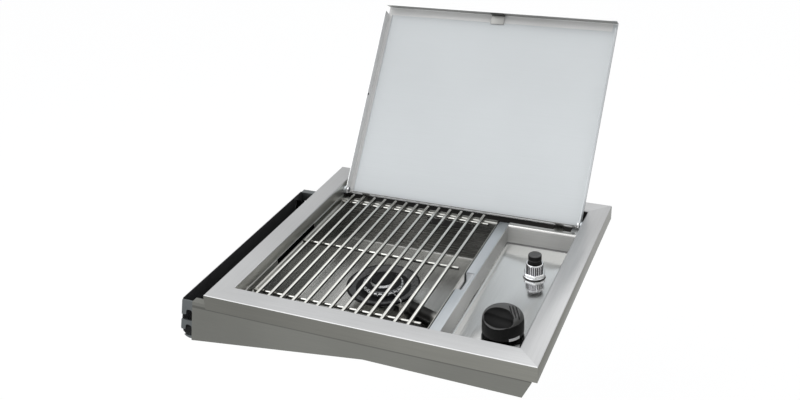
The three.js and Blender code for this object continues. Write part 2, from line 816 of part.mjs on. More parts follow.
function gasInlet() {
  const hex = rodY(hexWidth / 2, inletStart, inletStart + hexLength, hexSides);
  const spigot = rodY(spigotDiameter / 2, inletStart + hexLength / 2, inletEnd, valveSides);
  const way = rodY(gasWayDiameter / 2, inletStart + hexLength / 2, inletEnd + overcut, tubeSides);
  return cut(join(hex, spigot), way).translate(knobX, 0, -tubeDrop);
}
place('valve_body', valveBody(), brass);
place('gas_jet', gasJet(), brass);
place('gas_inlet', gasInlet(), brass);

// Knob: a turned body with a thumb scoop and a hollow at its front, ripples for the finger behind it,
// and a white pointer at its foot.
const knobDiameter = 49;
const knobClearance = 1.9;
const knobFootGap = knobPush + knobClearance;
const knobTopHeight = 31.2;
const knobShoulder = 15;
const knobCrownDiameter = 38;
const scoopTurn = THREE.MathUtils.degToRad(-11);
const scoopLength = 44;
const scoopReach = 48;
const scoopDepth = 11;
const scoopRear = 2.5;
const hollowLength = 36;
const hollowReach = 18;
const hollowDepth = 8;
const hollowDrop = 5.7;
const hollowInset = 13.5;
const recessDiameter = 26;
const recessDepth = 7.2;
const rippleRadius = 1.6;
const rippleSides = 10;
const rippleStep = 0.65;
const ripplePitch = 3;
const rippleCount = 3;
const rippleInset = 10.5;
const rippleLength = 26;
const rippleTurn = THREE.MathUtils.degToRad(26);
const knobSides = 48;
const pointerWidth = 14;
const pointerHeight = 3.6;
const pointerInset = 1.6;
const pointerProud = 0.4;
const pointerTurn = THREE.MathUtils.degToRad(-40);

const knobFoot = -trayFloorDrop + knobFootGap;
const knobTop = -trayFloorDrop + knobTopHeight;

function knobTurning() {
  const foot = knobDiameter / 2;
  const crown = knobCrownDiameter / 2;
  const shoulder = new THREE.QuadraticBezierCurve(
    new THREE.Vector2(foot - pointerProud, knobFoot + knobShoulder),
    new THREE.Vector2(foot - 2 * pointerProud, knobTop - pointerInset),
    new THREE.Vector2(crown / 2, knobTop)).getPoints(6).map((point) => [point.x, point.y]);
  return turned([[0, knobFoot], [foot, knobFoot], ...shoulder, [0, knobTop]], knobSides);
}

function ball(length, reach, depth, middle, level) {
  return new THREE.SphereGeometry(1, 24, 12).rotateX(Math.PI / 2)
    .scale(length / 2, reach / 2, depth)
    .translate(0, middle, level)
    .rotateZ(scoopTurn);
}

function ripple(i) {
  const along = knobDiameter / 2 - rippleInset - i * ripplePitch;
  const level = knobTop + (i - 1 / 2) * rippleStep;
  return rodY(rippleRadius, -rippleLength / 2, rippleLength / 2, rippleSides)
    .translate(along, 0, level).rotateZ(rippleTurn);
}

function pointerTab(outer, foot, grown) {
  const top = knobFoot + pointerHeight + grown;
  const inner = knobDiameter / 2 - pointerInset - grown;
  const across = pointerWidth / 2 + grown;
  return overlap(rodZ(outer, foot, top, knobSides), box(inner, outer, -across, across, foot, top))
    .rotateZ(pointerTurn);
}

function knob() {
  const recess = rodZ(recessDiameter / 2, knobFoot - overcut, knobFoot + recessDepth, valveSides);
  const bore = rodZ(stemDiameter / 2 + seatGap, knobFoot, -stemTopDrop + seatGap, valveSides);
  const pocket = pointerTab(knobDiameter, knobFoot - overcut, seatGap / 2);
  const scoop = ball(scoopLength, scoopReach, scoopDepth, scoopRear - scoopReach / 2, knobTop);
  const hollow = ball(hollowLength, hollowReach, hollowDepth, -hollowInset, knobTop - hollowDrop);
  const ripples = Array.from({ length: rippleCount }, (_, i) => ripple(i));
  return atKnob(cut(knobTurning(), scoop, hollow, recess, bore, pocket, ...ripples));
}
place('knob', knob(), blackPlastic);
place('knob_pointer', atKnob(pointerTab(knobDiameter / 2 + pointerProud, knobFoot, 0)), whitePlastic);

// Stem, with its flat, and the collar and spring that bring the knob back up.
const stemFlat = 1.2;
const collarWidth = 3;
const collarSheet = 1.2;
const springWire = 0.9;
const springTurns = 4;

function valveStem() {
  const stem = rodZ(stemDiameter / 2, -stemFootDrop, -stemTopDrop, valveSides);
  const flat = box(stemDiameter / 2 - stemFlat, stemDiameter, -stemDiameter, stemDiameter, knobFoot, 0);
  return atKnob(cut(stem, flat));
}

function springCollar() {
  const top = knobFoot + recessDepth - seatGap;
  const inner = stemDiameter / 2 + stemGap;
  const outer = recessDiameter / 2 - collarWidth;
  return atKnob(turned([
    [inner, top - collarSheet], [outer, top - collarSheet], [outer, top], [inner, top],
    [inner, top - collarSheet],
  ], valveSides));
}

class Helix extends THREE.Curve {
  constructor(radius, low, high, turns) {
    super();
    Object.assign(this, { radius, low, high, turns });
  }

  getPoint(share, target = new THREE.Vector3()) {
    const angle = share * this.turns * 2 * Math.PI;
    return target.set(this.radius * Math.cos(angle), this.radius * Math.sin(angle),
      THREE.MathUtils.lerp(this.low, this.high, share));
  }
}

const roundSection = (radius, sides) => new THREE.Shape(Array.from({ length: sides }, (_, i) =>
  new THREE.Vector2(radius, 0).rotateAround(new THREE.Vector2(), 2 * Math.PI * i / sides)));

// Coil spring whose wire stays within the low and high levels.
const springWireSides = 6;
const stepsPerTurn = 10;
function coilSpring(radius, wire, low, high, turns) {
  const path = new Helix(radius, low + wire / 2, high - wire / 2, turns);
  const sweep = { steps: turns * stepsPerTurn, bevelEnabled: false, extrudePath: path };
  return new THREE.ExtrudeGeometry(roundSection(wire / 2, springWireSides), sweep);
}
const knobSpringRadius = (stemHoleDiameter + stemDiameter) / 4 + springWire * 3;
place('valve_stem', valveStem(), brass);
place('spring_collar', springCollar(), zincPlate);
place('knob_spring', atKnob(coilSpring(knobSpringRadius, springWire, -trayFloorDrop + seatGap,
  knobFoot + recessDepth - 2 * seatGap - collarSheet, springTurns)), springSteel);

// Igniter: barrel under the tray, chrome flange and knurled collar above it, black button on a spring.
const igniterBarrelDiameter = 22;
const igniterFootDrop = 86;
const igniterNeckDiameter = 15.2;
const igniterNeckHeight = 9;
const igniterBoreDiameter = 12.6;
const igniterFlangeDiameter = 29;
const igniterFlangeHeight = 4.2;
const igniterCollarDiameter = 22;
const igniterCollarHeight = 19.5;
const buttonDiameter = 17;
const buttonTopHeight = 31.5;
const buttonSkirtHeight = igniterNeckHeight + igniterPush + 3 * travelClearance;
const buttonShaftDiameter = 6;
const buttonShaftDrop = 55;
const igniterBoreDrop = buttonShaftDrop + igniterPush + travelClearance;
const buttonGap = 0.4;
const knurlCount = 24;
const knurlRadius = 0.9;
const knurlSides = 6;
const igniterSpringRadius = 4.8;
const igniterSpringTurns = 9;
const igniterSides = 32;
const rimBevel = 1.2;

const atIgniter = (geometry) => geometry.translate(igniterX, igniterY, 0);
const trayFloor = -trayFloorDrop;
const neckTop = trayFloor + igniterNeckHeight;
const flangeTop = trayFloor + seatGap + igniterFlangeHeight;

function igniterBody() {
  const barrel = rodZ(igniterBarrelDiameter / 2, -igniterFootDrop, trayUnderside - seatGap, igniterSides);
  const neck = rodZ(igniterNeckDiameter / 2, trayUnderside - overcut, neckTop, igniterSides);
  const bore = rodZ(igniterBoreDiameter / 2, -igniterBoreDrop, neckTop + overcut, igniterSides);
  return atIgniter(cut(join(barrel, neck), bore));
}

function igniterFlange() {
  const inner = igniterNeckDiameter / 2 + seatGap;
  const outer = igniterFlangeDiameter / 2;
  const foot = trayFloor + seatGap;
  return atIgniter(turned([
    [inner, foot], [outer, foot], [outer, foot + rimBevel], [outer - rimBevel, flangeTop - rimBevel],
    [outer - 2 * rimBevel, flangeTop], [inner, flangeTop], [inner, foot],
  ], igniterSides));
}

function igniterCollar() {
  const foot = flangeTop + seatGap;
  const top = trayFloor + igniterCollarHeight;
  const outer = igniterCollarDiameter / 2;
  const neckBore = igniterNeckDiameter / 2 + seatGap;
  const buttonBore = buttonDiameter / 2 + buttonGap;
  const ring = turned([
    [neckBore, foot], [outer, foot], [outer, top - rimBevel], [outer - rimBevel, top], [buttonBore, top],
    [buttonBore, neckTop + seatGap], [neckBore, neckTop + seatGap], [neckBore, foot],
  ], igniterSides);
  const grooves = [];
  for (let i = 0; i < knurlCount; i += 1) {
    const groove = rodZ(knurlRadius, foot + rimBevel, top - 2 * rimBevel, knurlSides)
      .translate(outer + knurlRadius / 2, 0, 0);
    grooves.push(groove.rotateZ(i * 2 * Math.PI / knurlCount));
  }
  return atIgniter(cut(ring, ...grooves));
}

function igniterButton() {
  const outer = buttonDiameter / 2;
  const top = trayFloor + buttonTopHeight;
  const foot = trayFloor + buttonSkirtHeight;
  const shaft = buttonShaftDiameter / 2;
  return atIgniter(turned([
    [0, -buttonShaftDrop], [shaft, -buttonShaftDrop], [shaft, foot], [outer, foot], [outer, top - rimBevel],
    [outer - rimBevel, top], [outer - 2 * rimBevel, top], [outer - 2 * rimBevel, top - rimBevel / 2],
    [0, top - rimBevel / 2],
  ], igniterSides));
}
place('igniter_body', igniterBody(), blackPlastic);
place('igniter_flange', igniterFlange(), chrome);
place('igniter_collar', igniterCollar(), chrome);
place('igniter_button', igniterButton(), blackPlastic);
place('igniter_spring', atIgniter(coilSpring(igniterSpringRadius, springWire, -igniterBoreDrop + seatGap,
  trayFloor + buttonSkirtHeight - seatGap, igniterSpringTurns)), springSteel);

// Electrode: ceramic through the pan floor beside the burner, its wire bent towards the ports.
const ceramicCollar = 11;
const ceramicTopDrop = 62;
const ceramicFootDrop = 96;
const wireDiameter = 1.8;
const wireSides = 8;
const wireSteps = 14;
const wireRise = 7;
const wireReach = 20;

function ceramicBody() {
  const radius = ceramicDiameter / 2;
  const seat = -panFloorDrop + seatGap;
  return electrodeAt(turned([
    [0, -ceramicFootDrop], [radius, -ceramicFootDrop], [radius, seat], [ceramicCollar / 2, seat],
    [ceramicCollar / 2, seat + radius], [radius, seat + radius], [radius, -ceramicTopDrop - rimBevel],
    [radius - rimBevel, -ceramicTopDrop], [0, -ceramicTopDrop],
  ], 16));
}

function electrodeWire() {
  const start = -ceramicTopDrop + seatGap;
  const path = new THREE.CurvePath();
  const foot = new THREE.Vector3(0, 0, start);
  const bend = new THREE.Vector3(0, 0, start + wireRise);
  const tip = new THREE.Vector3(-wireReach, 0, start + wireRise - wireDiameter);
  path.add(new THREE.LineCurve3(foot, foot.clone().lerp(bend, 1 / 2)));
  path.add(new THREE.QuadraticBezierCurve3(
    foot.clone().lerp(bend, 1 / 2), bend, bend.clone().lerp(tip, 1 / 4)));
  path.add(new THREE.LineCurve3(bend.clone().lerp(tip, 1 / 4), tip));
  const sweep = { steps: wireSteps, bevelEnabled: false, extrudePath: path };
  return electrodeAt(new THREE.ExtrudeGeometry(roundSection(wireDiameter / 2, wireSides), sweep));
}
place('electrode_ceramic', ceramicBody(), ceramic);
place('electrode_wire', electrodeWire(), springSteel);

// Lid, drawn closed about its pivot line and turned up to its open stop.
const lid = new THREE.Group();
lid.position.set(0, pivotY, -pivotDrop);
lid.rotation.x = -lidOpenAngle;
unit.add(lid);

const lidLeft = openLeft + lidSideGap;
const lidRight = openRight - lidSideGap;
const frontSkirtLean = THREE.MathUtils.degToRad(9);
const cornerRelief = 12;
const rearRelief = 7;
const earRadius = 5.5;
const earSides = 24;
const linerSheet = 0.6;
const linerFrontBand = 13;
const linerSideBand = 6.5;
const linerHem = 1.6;
const linerRear = 0;
const clipWidth = 19;
const clipSheet = 0.9;
const clipReach = 15.3;
const clipFoot = -2.6;

function lidSkin() {
  const across = foldedSheet([
    [lidRight, lidRise - lidSkirt], [lidRight, lidRise], [lidLeft, lidRise], [lidLeft, lidRise - lidSkirt],
  ], lidSheet);
  const lengthways = foldedSheet([
    [lidTail, lidRise - lidRearSkirt], [lidTail, lidRise], [-lidReach, lidRise],
    [-lidReach + lidSkirt * Math.sin(frontSkirtLean), lidRise - lidSkirt * Math.cos(frontSkirtLean)],
  ], lidSheet);
  const ears = [
    rodX(earRadius, lidLeft, lidLeft + lidSheet, earSides),
    rodX(earRadius, lidRight - lidSheet, lidRight, earSides),
  ];
  const relief = (low, high) => box(low, high, lidTail - lidSheet - insideBend, lidTail + overcut,
    lidRise - lidRearSkirt - overcut, lidRise - lidSheet - insideBend);
  const hole = rodX(pinDiameter / 2 + pinClearance, lidLeft - overcut, lidRight + overcut, pinHoleSides);
  const skin = join(alongY(across, cornerRelief - lidReach, lidTail), alongX(lengthways, lidLeft, lidRight));
  const opened = cut(skin, relief(lidLeft + lidSheet, lidLeft + rearRelief),
    relief(lidRight - rearRelief, lidRight - lidSheet));
  return cut(join(opened, ...ears), hole);
}

const linerFace = lidRise - lidSheet - seatGap;
function lidLiner() {
  const left = lidLeft + linerSideBand;
  const right = lidRight - linerSideBand;
  const section = foldedSheet([
    [right, linerFace - linerHem], [right, linerFace], [left, linerFace], [left, linerFace - linerHem],
  ], linerSheet, linerSheet);
  return alongY(section, linerFrontBand - lidReach, linerRear);
}

function lidClip() {
  const under = linerFace - linerSheet - seatGap;
  const skirtAt = (level) => -lidReach + (lidSheet + seatGap) / Math.cos(frontSkirtLean)
    + (lidRise - level) * Math.tan(frontSkirtLean);
  const section = foldedSheet([
    [clipReach - lidReach, under], [skirtAt(under), under], [skirtAt(clipFoot), clipFoot],
  ], clipSheet);
  const middle = (lidLeft + lidRight) / 2;
  return alongX(section, middle - clipWidth / 2, middle + clipWidth / 2);
}
place('lid_skin', lidSkin(), brushedSteel, lid);
place('lid_liner', lidLiner(), linerSteel, lid);
place('lid_clip', lidClip(), zincPlate, lid);

// Hinge at each side: shoulder pin, spacer between lip and lid, and a nut behind the lip.
const pinHeadDiameter = 8;
const pinHeadLength = 2.2;
const nutWidth = 9;
const nutLength = 4;
const pinTail = 1.5;
const spacerDiameter = 10;

const atPivot = (geometry) => geometry.translate(0, pivotY, -pivotDrop);

function hinge(side, wall, inward) {
  const barBetween = (radius, a, b, sides) => rodX(radius, Math.min(a, b), Math.max(a, b), sides);
  const into = (distance) => wall + inward * distance;
  const headStart = into(lidSideGap + lidSheet + seatGap);
  const nutFace = into(-frameSheet - seatGap);
  const nutEnd = into(-frameSheet - seatGap - nutLength);
  const radius = pinDiameter / 2;
  const shank = barBetween(radius, headStart + inward * pinHeadLength / 2, nutEnd - inward * pinTail, 16);
  const head = barBetween(pinHeadDiameter / 2, headStart, headStart + inward * pinHeadLength, 20);
  const spacer = barBetween(spacerDiameter / 2, into(seatGap), into(lidSideGap - seatGap), 20);
  const nut = barBetween(nutWidth / 2, nutFace, nutEnd, 6);
  const bore = barBetween(radius + seatGap, wall - spacerDiameter, wall + spacerDiameter, 16);
  place(`hinge_pin_${side}`, atPivot(join(shank, head)), chrome);
  place(`hinge_spacer_${side}`, atPivot(cut(spacer, bore)), zincPlate);
  place(`hinge_nut_${side}`, atPivot(cut(nut, bore)), zincPlate);
}
hinge('left', openLeft, 1);
hinge('right', openRight, -1);

// The origin is the middle of the sloping end wall that rests against the cart.
const mountY = (channelFront + endRear) / 2;
const mountDrop = 36;
unit.position.set(-endXAt(mountDrop), -mountY, mountDrop);

export default unit;
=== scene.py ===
import json
import math
from collections import namedtuple

import bmesh
import bpy
from mathutils import Matrix, Vector


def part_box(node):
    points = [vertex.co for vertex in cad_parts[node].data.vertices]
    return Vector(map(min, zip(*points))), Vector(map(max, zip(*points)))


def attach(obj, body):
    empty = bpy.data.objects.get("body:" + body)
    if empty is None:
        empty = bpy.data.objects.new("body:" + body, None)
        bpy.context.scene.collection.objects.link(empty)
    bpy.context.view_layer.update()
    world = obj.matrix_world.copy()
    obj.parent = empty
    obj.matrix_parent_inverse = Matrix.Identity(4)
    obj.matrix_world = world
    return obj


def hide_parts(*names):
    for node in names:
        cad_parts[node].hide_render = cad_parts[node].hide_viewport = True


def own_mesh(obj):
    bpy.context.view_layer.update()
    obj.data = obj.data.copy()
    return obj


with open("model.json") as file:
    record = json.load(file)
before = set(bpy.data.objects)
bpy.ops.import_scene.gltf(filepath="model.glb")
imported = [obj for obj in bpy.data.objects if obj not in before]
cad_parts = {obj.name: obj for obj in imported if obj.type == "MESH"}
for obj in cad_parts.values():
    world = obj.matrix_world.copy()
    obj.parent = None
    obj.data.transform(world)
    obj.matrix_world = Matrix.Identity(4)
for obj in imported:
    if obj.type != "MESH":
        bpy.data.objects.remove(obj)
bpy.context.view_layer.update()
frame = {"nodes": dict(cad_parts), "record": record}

NODES = frame["nodes"]
BEHAVIOUR = frame["record"]["behaviour"]
BODIES = {node: body for body, members in BEHAVIOUR["bodies"].items() for node in members}
SLOTS = {part["node"]: part["material_slot"] for part in frame["record"]["subparts"]}
JOINTS = {joint["name"]: joint for joint in BEHAVIOUR["joints"]}

# Places are written in millimetres from the top frame's outer front left corner, on its upper face.
MM = 0.001
FRAME_LOW, FRAME_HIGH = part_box("top_frame")
CORNER = Vector((FRAME_LOW[0], FRAME_LOW[1], FRAME_HIGH[2]))


def at(x, y, z):
    """A place in corner millimetres as one of the frame, in metres."""
    return Vector((x, y, z)) * MM + CORNER


def from_corner(point):
    """The other way round, to the nearest hundredth of a millimetre."""
    return [round((value - origin) / MM, 2) for value, origin in zip(point, CORNER)]


def box_of(node):
    """A node's lowest and highest corner, in corner millimetres."""
    low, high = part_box(node)
    return from_corner(low), from_corner(high)


def middle_of(node):
    return [round((low + high) / 2, 2) for low, high in zip(*box_of(node))]


def size_of(node):
    return [round(high - low, 2) for low, high in zip(*box_of(node))]


# Node trees

MATERIALS = {}

# Noise lies mostly between these two values.
NOISE_LOW, NOISE_HIGH = 0.3, 0.7


class Graph:
    """A node tree that takes each new node with its settings and inputs in one call."""

    def __init__(self, tree):
        self.tree = tree

    def add(self, kind, inputs=(), **settings):
        node = self.tree.nodes.new("ShaderNode" + kind)
        for name, value in settings.items():
            setattr(node, name, value)
        self.feed(node, dict(inputs))
        return node

    def feed(self, node, inputs):
        """Each input is a plain value, or another node's output to link it to."""
        for key, value in inputs.items():
            if isinstance(value, bpy.types.NodeSocket):
                self.tree.links.new(value, node.inputs[key])
            else:
                node.inputs[key].default_value = value


def new_material(name):
    material = bpy.data.materials.new(name)
    material.use_nodes = True
    return material, Graph(material.node_tree), material.node_tree.nodes["Principled BSDF"]


def maths(graph, operation, *values):
    return graph.add("Math", enumerate(values), operation=operation).outputs[0]


def noise(graph, stretch, scale=1.0, detail=3.0, rough=0.5):
    """Noise in the frame's own space, with a factor for each axis."""
    place = graph.add("TexCoord").outputs["Object"]
    mapped = graph.add("Mapping", {"Vector": place, "Scale": stretch}).outputs["Vector"]
    inputs = {"Vector": mapped, "Scale": scale, "Detail": detail, "Roughness": rough}
    return graph.add("TexNoise", inputs).outputs["Fac"]


def spread(graph, value, low, high):
    """Maps noise on a range."""
    inputs = {"Value": value, "From Min": NOISE_LOW, "From Max": NOISE_HIGH, "To Min": low, "To Max": high}
    return graph.add("MapRange", inputs).outputs["Result"]


def smooth_step(graph, value, start, end):
    """Goes from 0 at the start to 1 at the end."""
    inputs = {"Value": value, "From Min": start, "From Max": end}
    return graph.add("MapRange", inputs, interpolation_type="SMOOTHSTEP").outputs["Result"]


def blended(graph, share, dark, light):
    inputs = {"Factor": share, "A": (*dark, 1), "B": (*light, 1)}
    return graph.add("Mix", inputs, data_type="RGBA").outputs["Result"]


def multiplied(graph, colours, share, factor):
    """The colours times a factor, as far as the share says."""
    inputs = {"Factor": share, "A": colours, "B": (factor, factor, factor, 1)}
    return graph.add("Mix", inputs, data_type="RGBA", blend_type="MULTIPLY").outputs["Result"]


def bumped(graph, height, strength, depth, **base):
    inputs = {"Height": height, "Strength": strength, "Distance": depth, **base}
    return graph.add("Bump", inputs).outputs["Normal"]


# A band of painted light or shade, a factor on the colour above or below 1, lies between two places along an
# axis, in corner millimetres, with soft ends.
Band = namedtuple("Band", "axis low high soft factor")

# A side of painted light or shade, a factor on the colour, faces along a line, from a low cosine, where it
# begins, to a high one.
Side = namedtuple("Side", "line low high factor")

# A place past the object's ends.
FAR = 2000


def banded(graph, colours, band):
    index = "xyz".index(band.axis)
    place = graph.add("TexCoord").outputs["Object"]
    along = graph.add("SeparateXYZ", {"Vector": place}).outputs[index]
    shares = []
    for level, half in ((band.low, band.soft / 2), (band.high, -band.soft / 2)):
        start, end = ((level + shift) * MM + CORNER[index] for shift in (-half, half))
        shares.append(smooth_step(graph, along, start, end))
    return multiplied(graph, colours, maths(graph, "MULTIPLY", *shares), band.factor)


def sided(graph, colours, side):
    normal = graph.add("NewGeometry").outputs["Normal"]
    product = graph.add("VectorMath", {0: normal, 1: side.line}, operation="DOT_PRODUCT").outputs["Value"]
    share = smooth_step(graph, maths(graph, "ABSOLUTE", product), side.low, side.high)
    return multiplied(graph, colours, share, side.factor)


def shade(colour, factor):
    return tuple(min(1.0, channel * factor) for channel in colour)


# Two kinds of finish

# Noise scales of steel, per metre: along and across the grain, of stains and of waves in the sheet.
ALONG, ACROSS = 14, 900
GRAINS = {grain: tuple(ALONG if axis == grain else ACROSS for axis in "xyz") for grain in "xyz"}
STAINS = (9, 9, 9)
WAVES = (22, 22, 22)

# How deep the waves and a fine surface are, in metres.
WAVE_DEPTH = 0.002
FINE_DEPTH = 0.0001

# Paint and plastic: noise alike along every axis, the scale of uneven gloss, how far the gloss varies, and
# a clear coat's own roughness.
EVEN = (1, 1, 1)
MOTTLE_SCALE = 60.0
MOTTLE_GLOSS = 0.05
COAT_ROUGHNESS = 0.12


def steel(name, colour, roughness, grain="x", streak=0.05, cloud=0.05, bump=0.06, metallic=1.0,
          gloss_spread=0.03, bands=(), sides=()):
    """Rolled or brushed sheet: fine streaks along the grain, broad cloudy stains, slight waves, and painted
    light and shade from its bands and sides.
    """
    MATERIALS[name], graph, shader = new_material(name)
    streaks = noise(graph, GRAINS[grain], detail=4.0, rough=0.6)
    stains = noise(graph, STAINS)
    waves = noise(graph, WAVES, detail=2.0, rough=0.4)
    total = streak + cloud
    share = maths(graph, "ADD", spread(graph, streaks, 0.0, streak / total),
                  spread(graph, stains, 0.0, cloud / total))
    colours = blended(graph, share, shade(colour, 1 - total), shade(colour, 1 + total))
    for band in bands:
        colours = banded(graph, colours, band)
    for side in sides:
        colours = sided(graph, colours, side)
    waved = bumped(graph, waves, bump, WAVE_DEPTH)
    graph.feed(shader, {
        "Base Color": colours,
        "Metallic": metallic,
        "Roughness": spread(graph, streaks, roughness - gloss_spread, roughness + gloss_spread),
        "Normal": bumped(graph, streaks, bump, FINE_DEPTH, Normal=waved),
    })


def coated(name, colour, roughness, mottle=0.15, fine=1400.0, bump=0.15, coat=0.0, specular=0.5):
    """Paint, enamel, moulded plastic and ceramic: a fine surface texture with uneven gloss."""
    MATERIALS[name], graph, shader = new_material(name)
    grains = noise(graph, EVEN, fine, rough=0.6)
    mottles = noise(graph, EVEN, MOTTLE_SCALE)
    share = spread(graph, mottles, 0.0, 1.0)
    graph.feed(shader, {
        "Base Color": blended(graph, share, shade(colour, 1 - mottle), shade(colour, 1 + mottle)),
        "Roughness": spread(graph, mottles, roughness - MOTTLE_GLOSS, roughness + MOTTLE_GLOSS),
        "Specular IOR Level": specular,
        "Coat Weight": coat,
        "Coat Roughness": COAT_ROUGHNESS,
        "Normal": bumped(graph, grains, bump, FINE_DEPTH),
    })


# Materials of the frame and the body

FRAME_LIGHT = (0.54, 0.545, 0.55)
# Painted light and shade on the frame's steel: shade towards the rear and the left of the borders, light
# towards the right of the borders along x, of the skirt and of the panels, and a painted shadow on the panels
# just under the skirt's edge.
REAR_PAINTED_SHADE = Band("y", 180, FAR, soft=330, factor=0.80)
LEFT_PAINTED_SHADE = Band("x", -FAR, 100, soft=200, factor=0.93)
RIGHT_PAINTED_LIGHT = Band("x", 330, FAR, soft=200, factor=1.15)
SKIRT_RIGHT_PAINTED_LIGHT = Band("x", 200, FAR, soft=400, factor=1.5)
PANEL_RIGHT_PAINTED_LIGHT = Band("x", 70, 420, soft=150, factor=1.17)
UNDER_SKIRT_PAINTED_SHADOW = Band("z", -22.6, -19.0, soft=1.2, factor=0.66)

steel("border_x", FRAME_LIGHT, 0.34, "x", bands=(REAR_PAINTED_SHADE, LEFT_PAINTED_SHADE, RIGHT_PAINTED_LIGHT))
steel("border_y", FRAME_LIGHT, 0.34, "y", bands=(REAR_PAINTED_SHADE, LEFT_PAINTED_SHADE))
# The skirts take darker copies of the border's steel: painted shade on the upright faces.
steel("skirt", (0.168, 0.168, 0.153), 0.42, "x", streak=0.06, bands=(SKIRT_RIGHT_PAINTED_LIGHT,))
steel("skirt_right", (0.205, 0.205, 0.185), 0.42, "y", streak=0.06)
steel("lip", (0.56, 0.56, 0.53), 0.34, "x", streak=0.08, cloud=0.15)
steel("panel", (0.185, 0.187, 0.172), 0.45, "x", bands=(UNDER_SKIRT_PAINTED_SHADOW, PANEL_RIGHT_PAINTED_LIGHT))
steel("right", (0.17, 0.17, 0.16), 0.45, "y", bands=(UNDER_SKIRT_PAINTED_SHADOW,))
# Near black: painted shade on what the frame's fold hides, on the inner lip's faces that look forward and on
# the panels' inner faces.
steel("inside", (0.030, 0.029, 0.028), 0.55, "x", cloud=0.2)
steel("bracket", (0.15, 0.162, 0.166), 0.5, "z", cloud=0.12)

# Materials inside the frame

# Painted shade on the pan's right part. The pan's rear and right walls take darker copies of its steel:
# painted shade.
PAN_RIGHT_PAINTED_SHADE = Band("x", 215, FAR, soft=70, factor=0.72)
TOP_PAINTED_LIGHT = Side((0, 0, 1), 0.50, 0.84, factor=6.6)

steel("pan", (0.56, 0.56, 0.545), 0.24, "y", streak=0.10, cloud=0.12, bump=0.05, bands=(PAN_RIGHT_PAINTED_SHADE,))
steel("pan_rear", (0.33, 0.33, 0.32), 0.26, "x", cloud=0.12, bump=0.08)
steel("pan_side", (0.20, 0.20, 0.195), 0.42, "y", cloud=0.12)
steel("ledge", (0.40, 0.40, 0.38), 0.30, "y", streak=0.04)
steel("tray", (0.75, 0.755, 0.75), 0.14, "y", streak=0.03, cloud=0.03, bump=0.03, gloss_spread=0.02)
# The tray's walls and its bends take darker copies of the floor's steel: painted shade, darkest in the bends.
steel("tray_wall", (0.56, 0.56, 0.55), 0.48, "x", streak=0.04, cloud=0.04, bump=0.03)
steel("tray_bend", (0.20, 0.20, 0.20), 0.50, "x", streak=0.04, cloud=0.04, bump=0.03)
steel("polished", (0.66, 0.66, 0.65), 0.24, "y", streak=0.04, cloud=0.03, bump=0.03)
steel("bright", (0.86, 0.87, 0.87), 0.45, "y", streak=0.03, metallic=0.3)
steel("zinc", (0.52, 0.55, 0.575), 0.38, "y", streak=0.03, cloud=0.08)
# The rods are dark steel whose upward faces are painted six and a half times lighter: painted highlight on
# top, painted shade on the sides.
steel("rod", (0.11, 0.11, 0.105), 0.24, "y", streak=0.04, bump=0.03, sides=(TOP_PAINTED_LIGHT,))
steel("weld", (0.42, 0.40, 0.37), 0.35, "y", streak=0.04, cloud=0.12)

# Materials of the lid

# Painted light on the liner, growing towards its foot.
LINER_FOOT_PAINTED_LIGHT = Band("z", -FAR, 70, soft=180, factor=1.28)

steel("liner", (0.58, 0.605, 0.615), 0.50, "x", streak=0.015, cloud=0.015, bump=0.02, metallic=0.4,
      bands=(LINER_FOOT_PAINTED_LIGHT,))
# The lid's skin takes copies of its steel in other tones, face by face: the side, fold, band and edge tones
# are lighter, painted light; the lip tone and the darkest one are painted shade.
steel("lid_side", (0.70, 0.70, 0.69), 0.50, "z", streak=0.03, metallic=0.3)
steel("lid_fold", (0.80, 0.80, 0.79), 0.50, "z", streak=0.03, metallic=0.3)
steel("lid_band", (0.68, 0.68, 0.67), 0.60, "x", streak=0.04, metallic=0.25)
steel("lid_dark", (0.15, 0.15, 0.145), 0.40, "x", streak=0.03)
steel("lid_lip", (0.42, 0.42, 0.41), 0.40, "x", streak=0.03)
steel("lid_edge", (0.62, 0.63, 0.63), 0.30, "x", streak=0.03)
steel("lid_skin", FRAME_LIGHT, 0.30, "x")
steel("clip", (0.36, 0.36, 0.35), 0.35, "x")
steel("clip_dark", (0.10, 0.10, 0.10), 0.45, "x")

# Materials of the controls and the burner

# The chrome and the sleeve's ribs are painted darker where they look along this line, which runs across the
# camera's view: painted dark reflections.
ACROSS_VIEW = (0.92, 0.39, 0)
CHROME_PAINTED_REFLECTION = Side(ACROSS_VIEW, 0.62, 0.90, factor=0.22)
RIB_PAINTED_REFLECTION = Side(ACROSS_VIEW, 0.55, 0.90, factor=0.30)
# Painted shade on the burner's grey under the dish.
UNDER_DISH_PAINTED_SHADE = Band("x", 190, 232, soft=14, factor=0.06)

steel("chrome", (0.85, 0.86, 0.88), 0.10, "z", streak=0.02, cloud=0.02, bump=0.02, gloss_spread=0.02,
      sides=(CHROME_PAINTED_REFLECTION,))
# The sleeve's ribbed band: its crests take a darker copy of the chrome and its grooves near black, both
# painted shade.
steel("nickel", (0.66, 0.66, 0.69), 0.20, "z", streak=0.03, bump=0.02, sides=(RIB_PAINTED_REFLECTION,))
steel("groove", (0.035, 0.035, 0.04), 0.35, "z", streak=0.03, bump=0.02)
steel("spring", (0.55, 0.55, 0.55), 0.25, "z")
steel("brass", (0.52, 0.38, 0.16), 0.30, "z", cloud=0.10)
steel("ring", (0.62, 0.63, 0.64), 0.18, "z", streak=0.04, cloud=0.15)
# The burner's grey is made light to stand for light thrown up from the pan: partly its own grey, partly
# painted light.
steel("burner_grey", (0.62, 0.62, 0.60), 0.45, "x", cloud=0.2, bands=(UNDER_DISH_PAINTED_SHADE,))
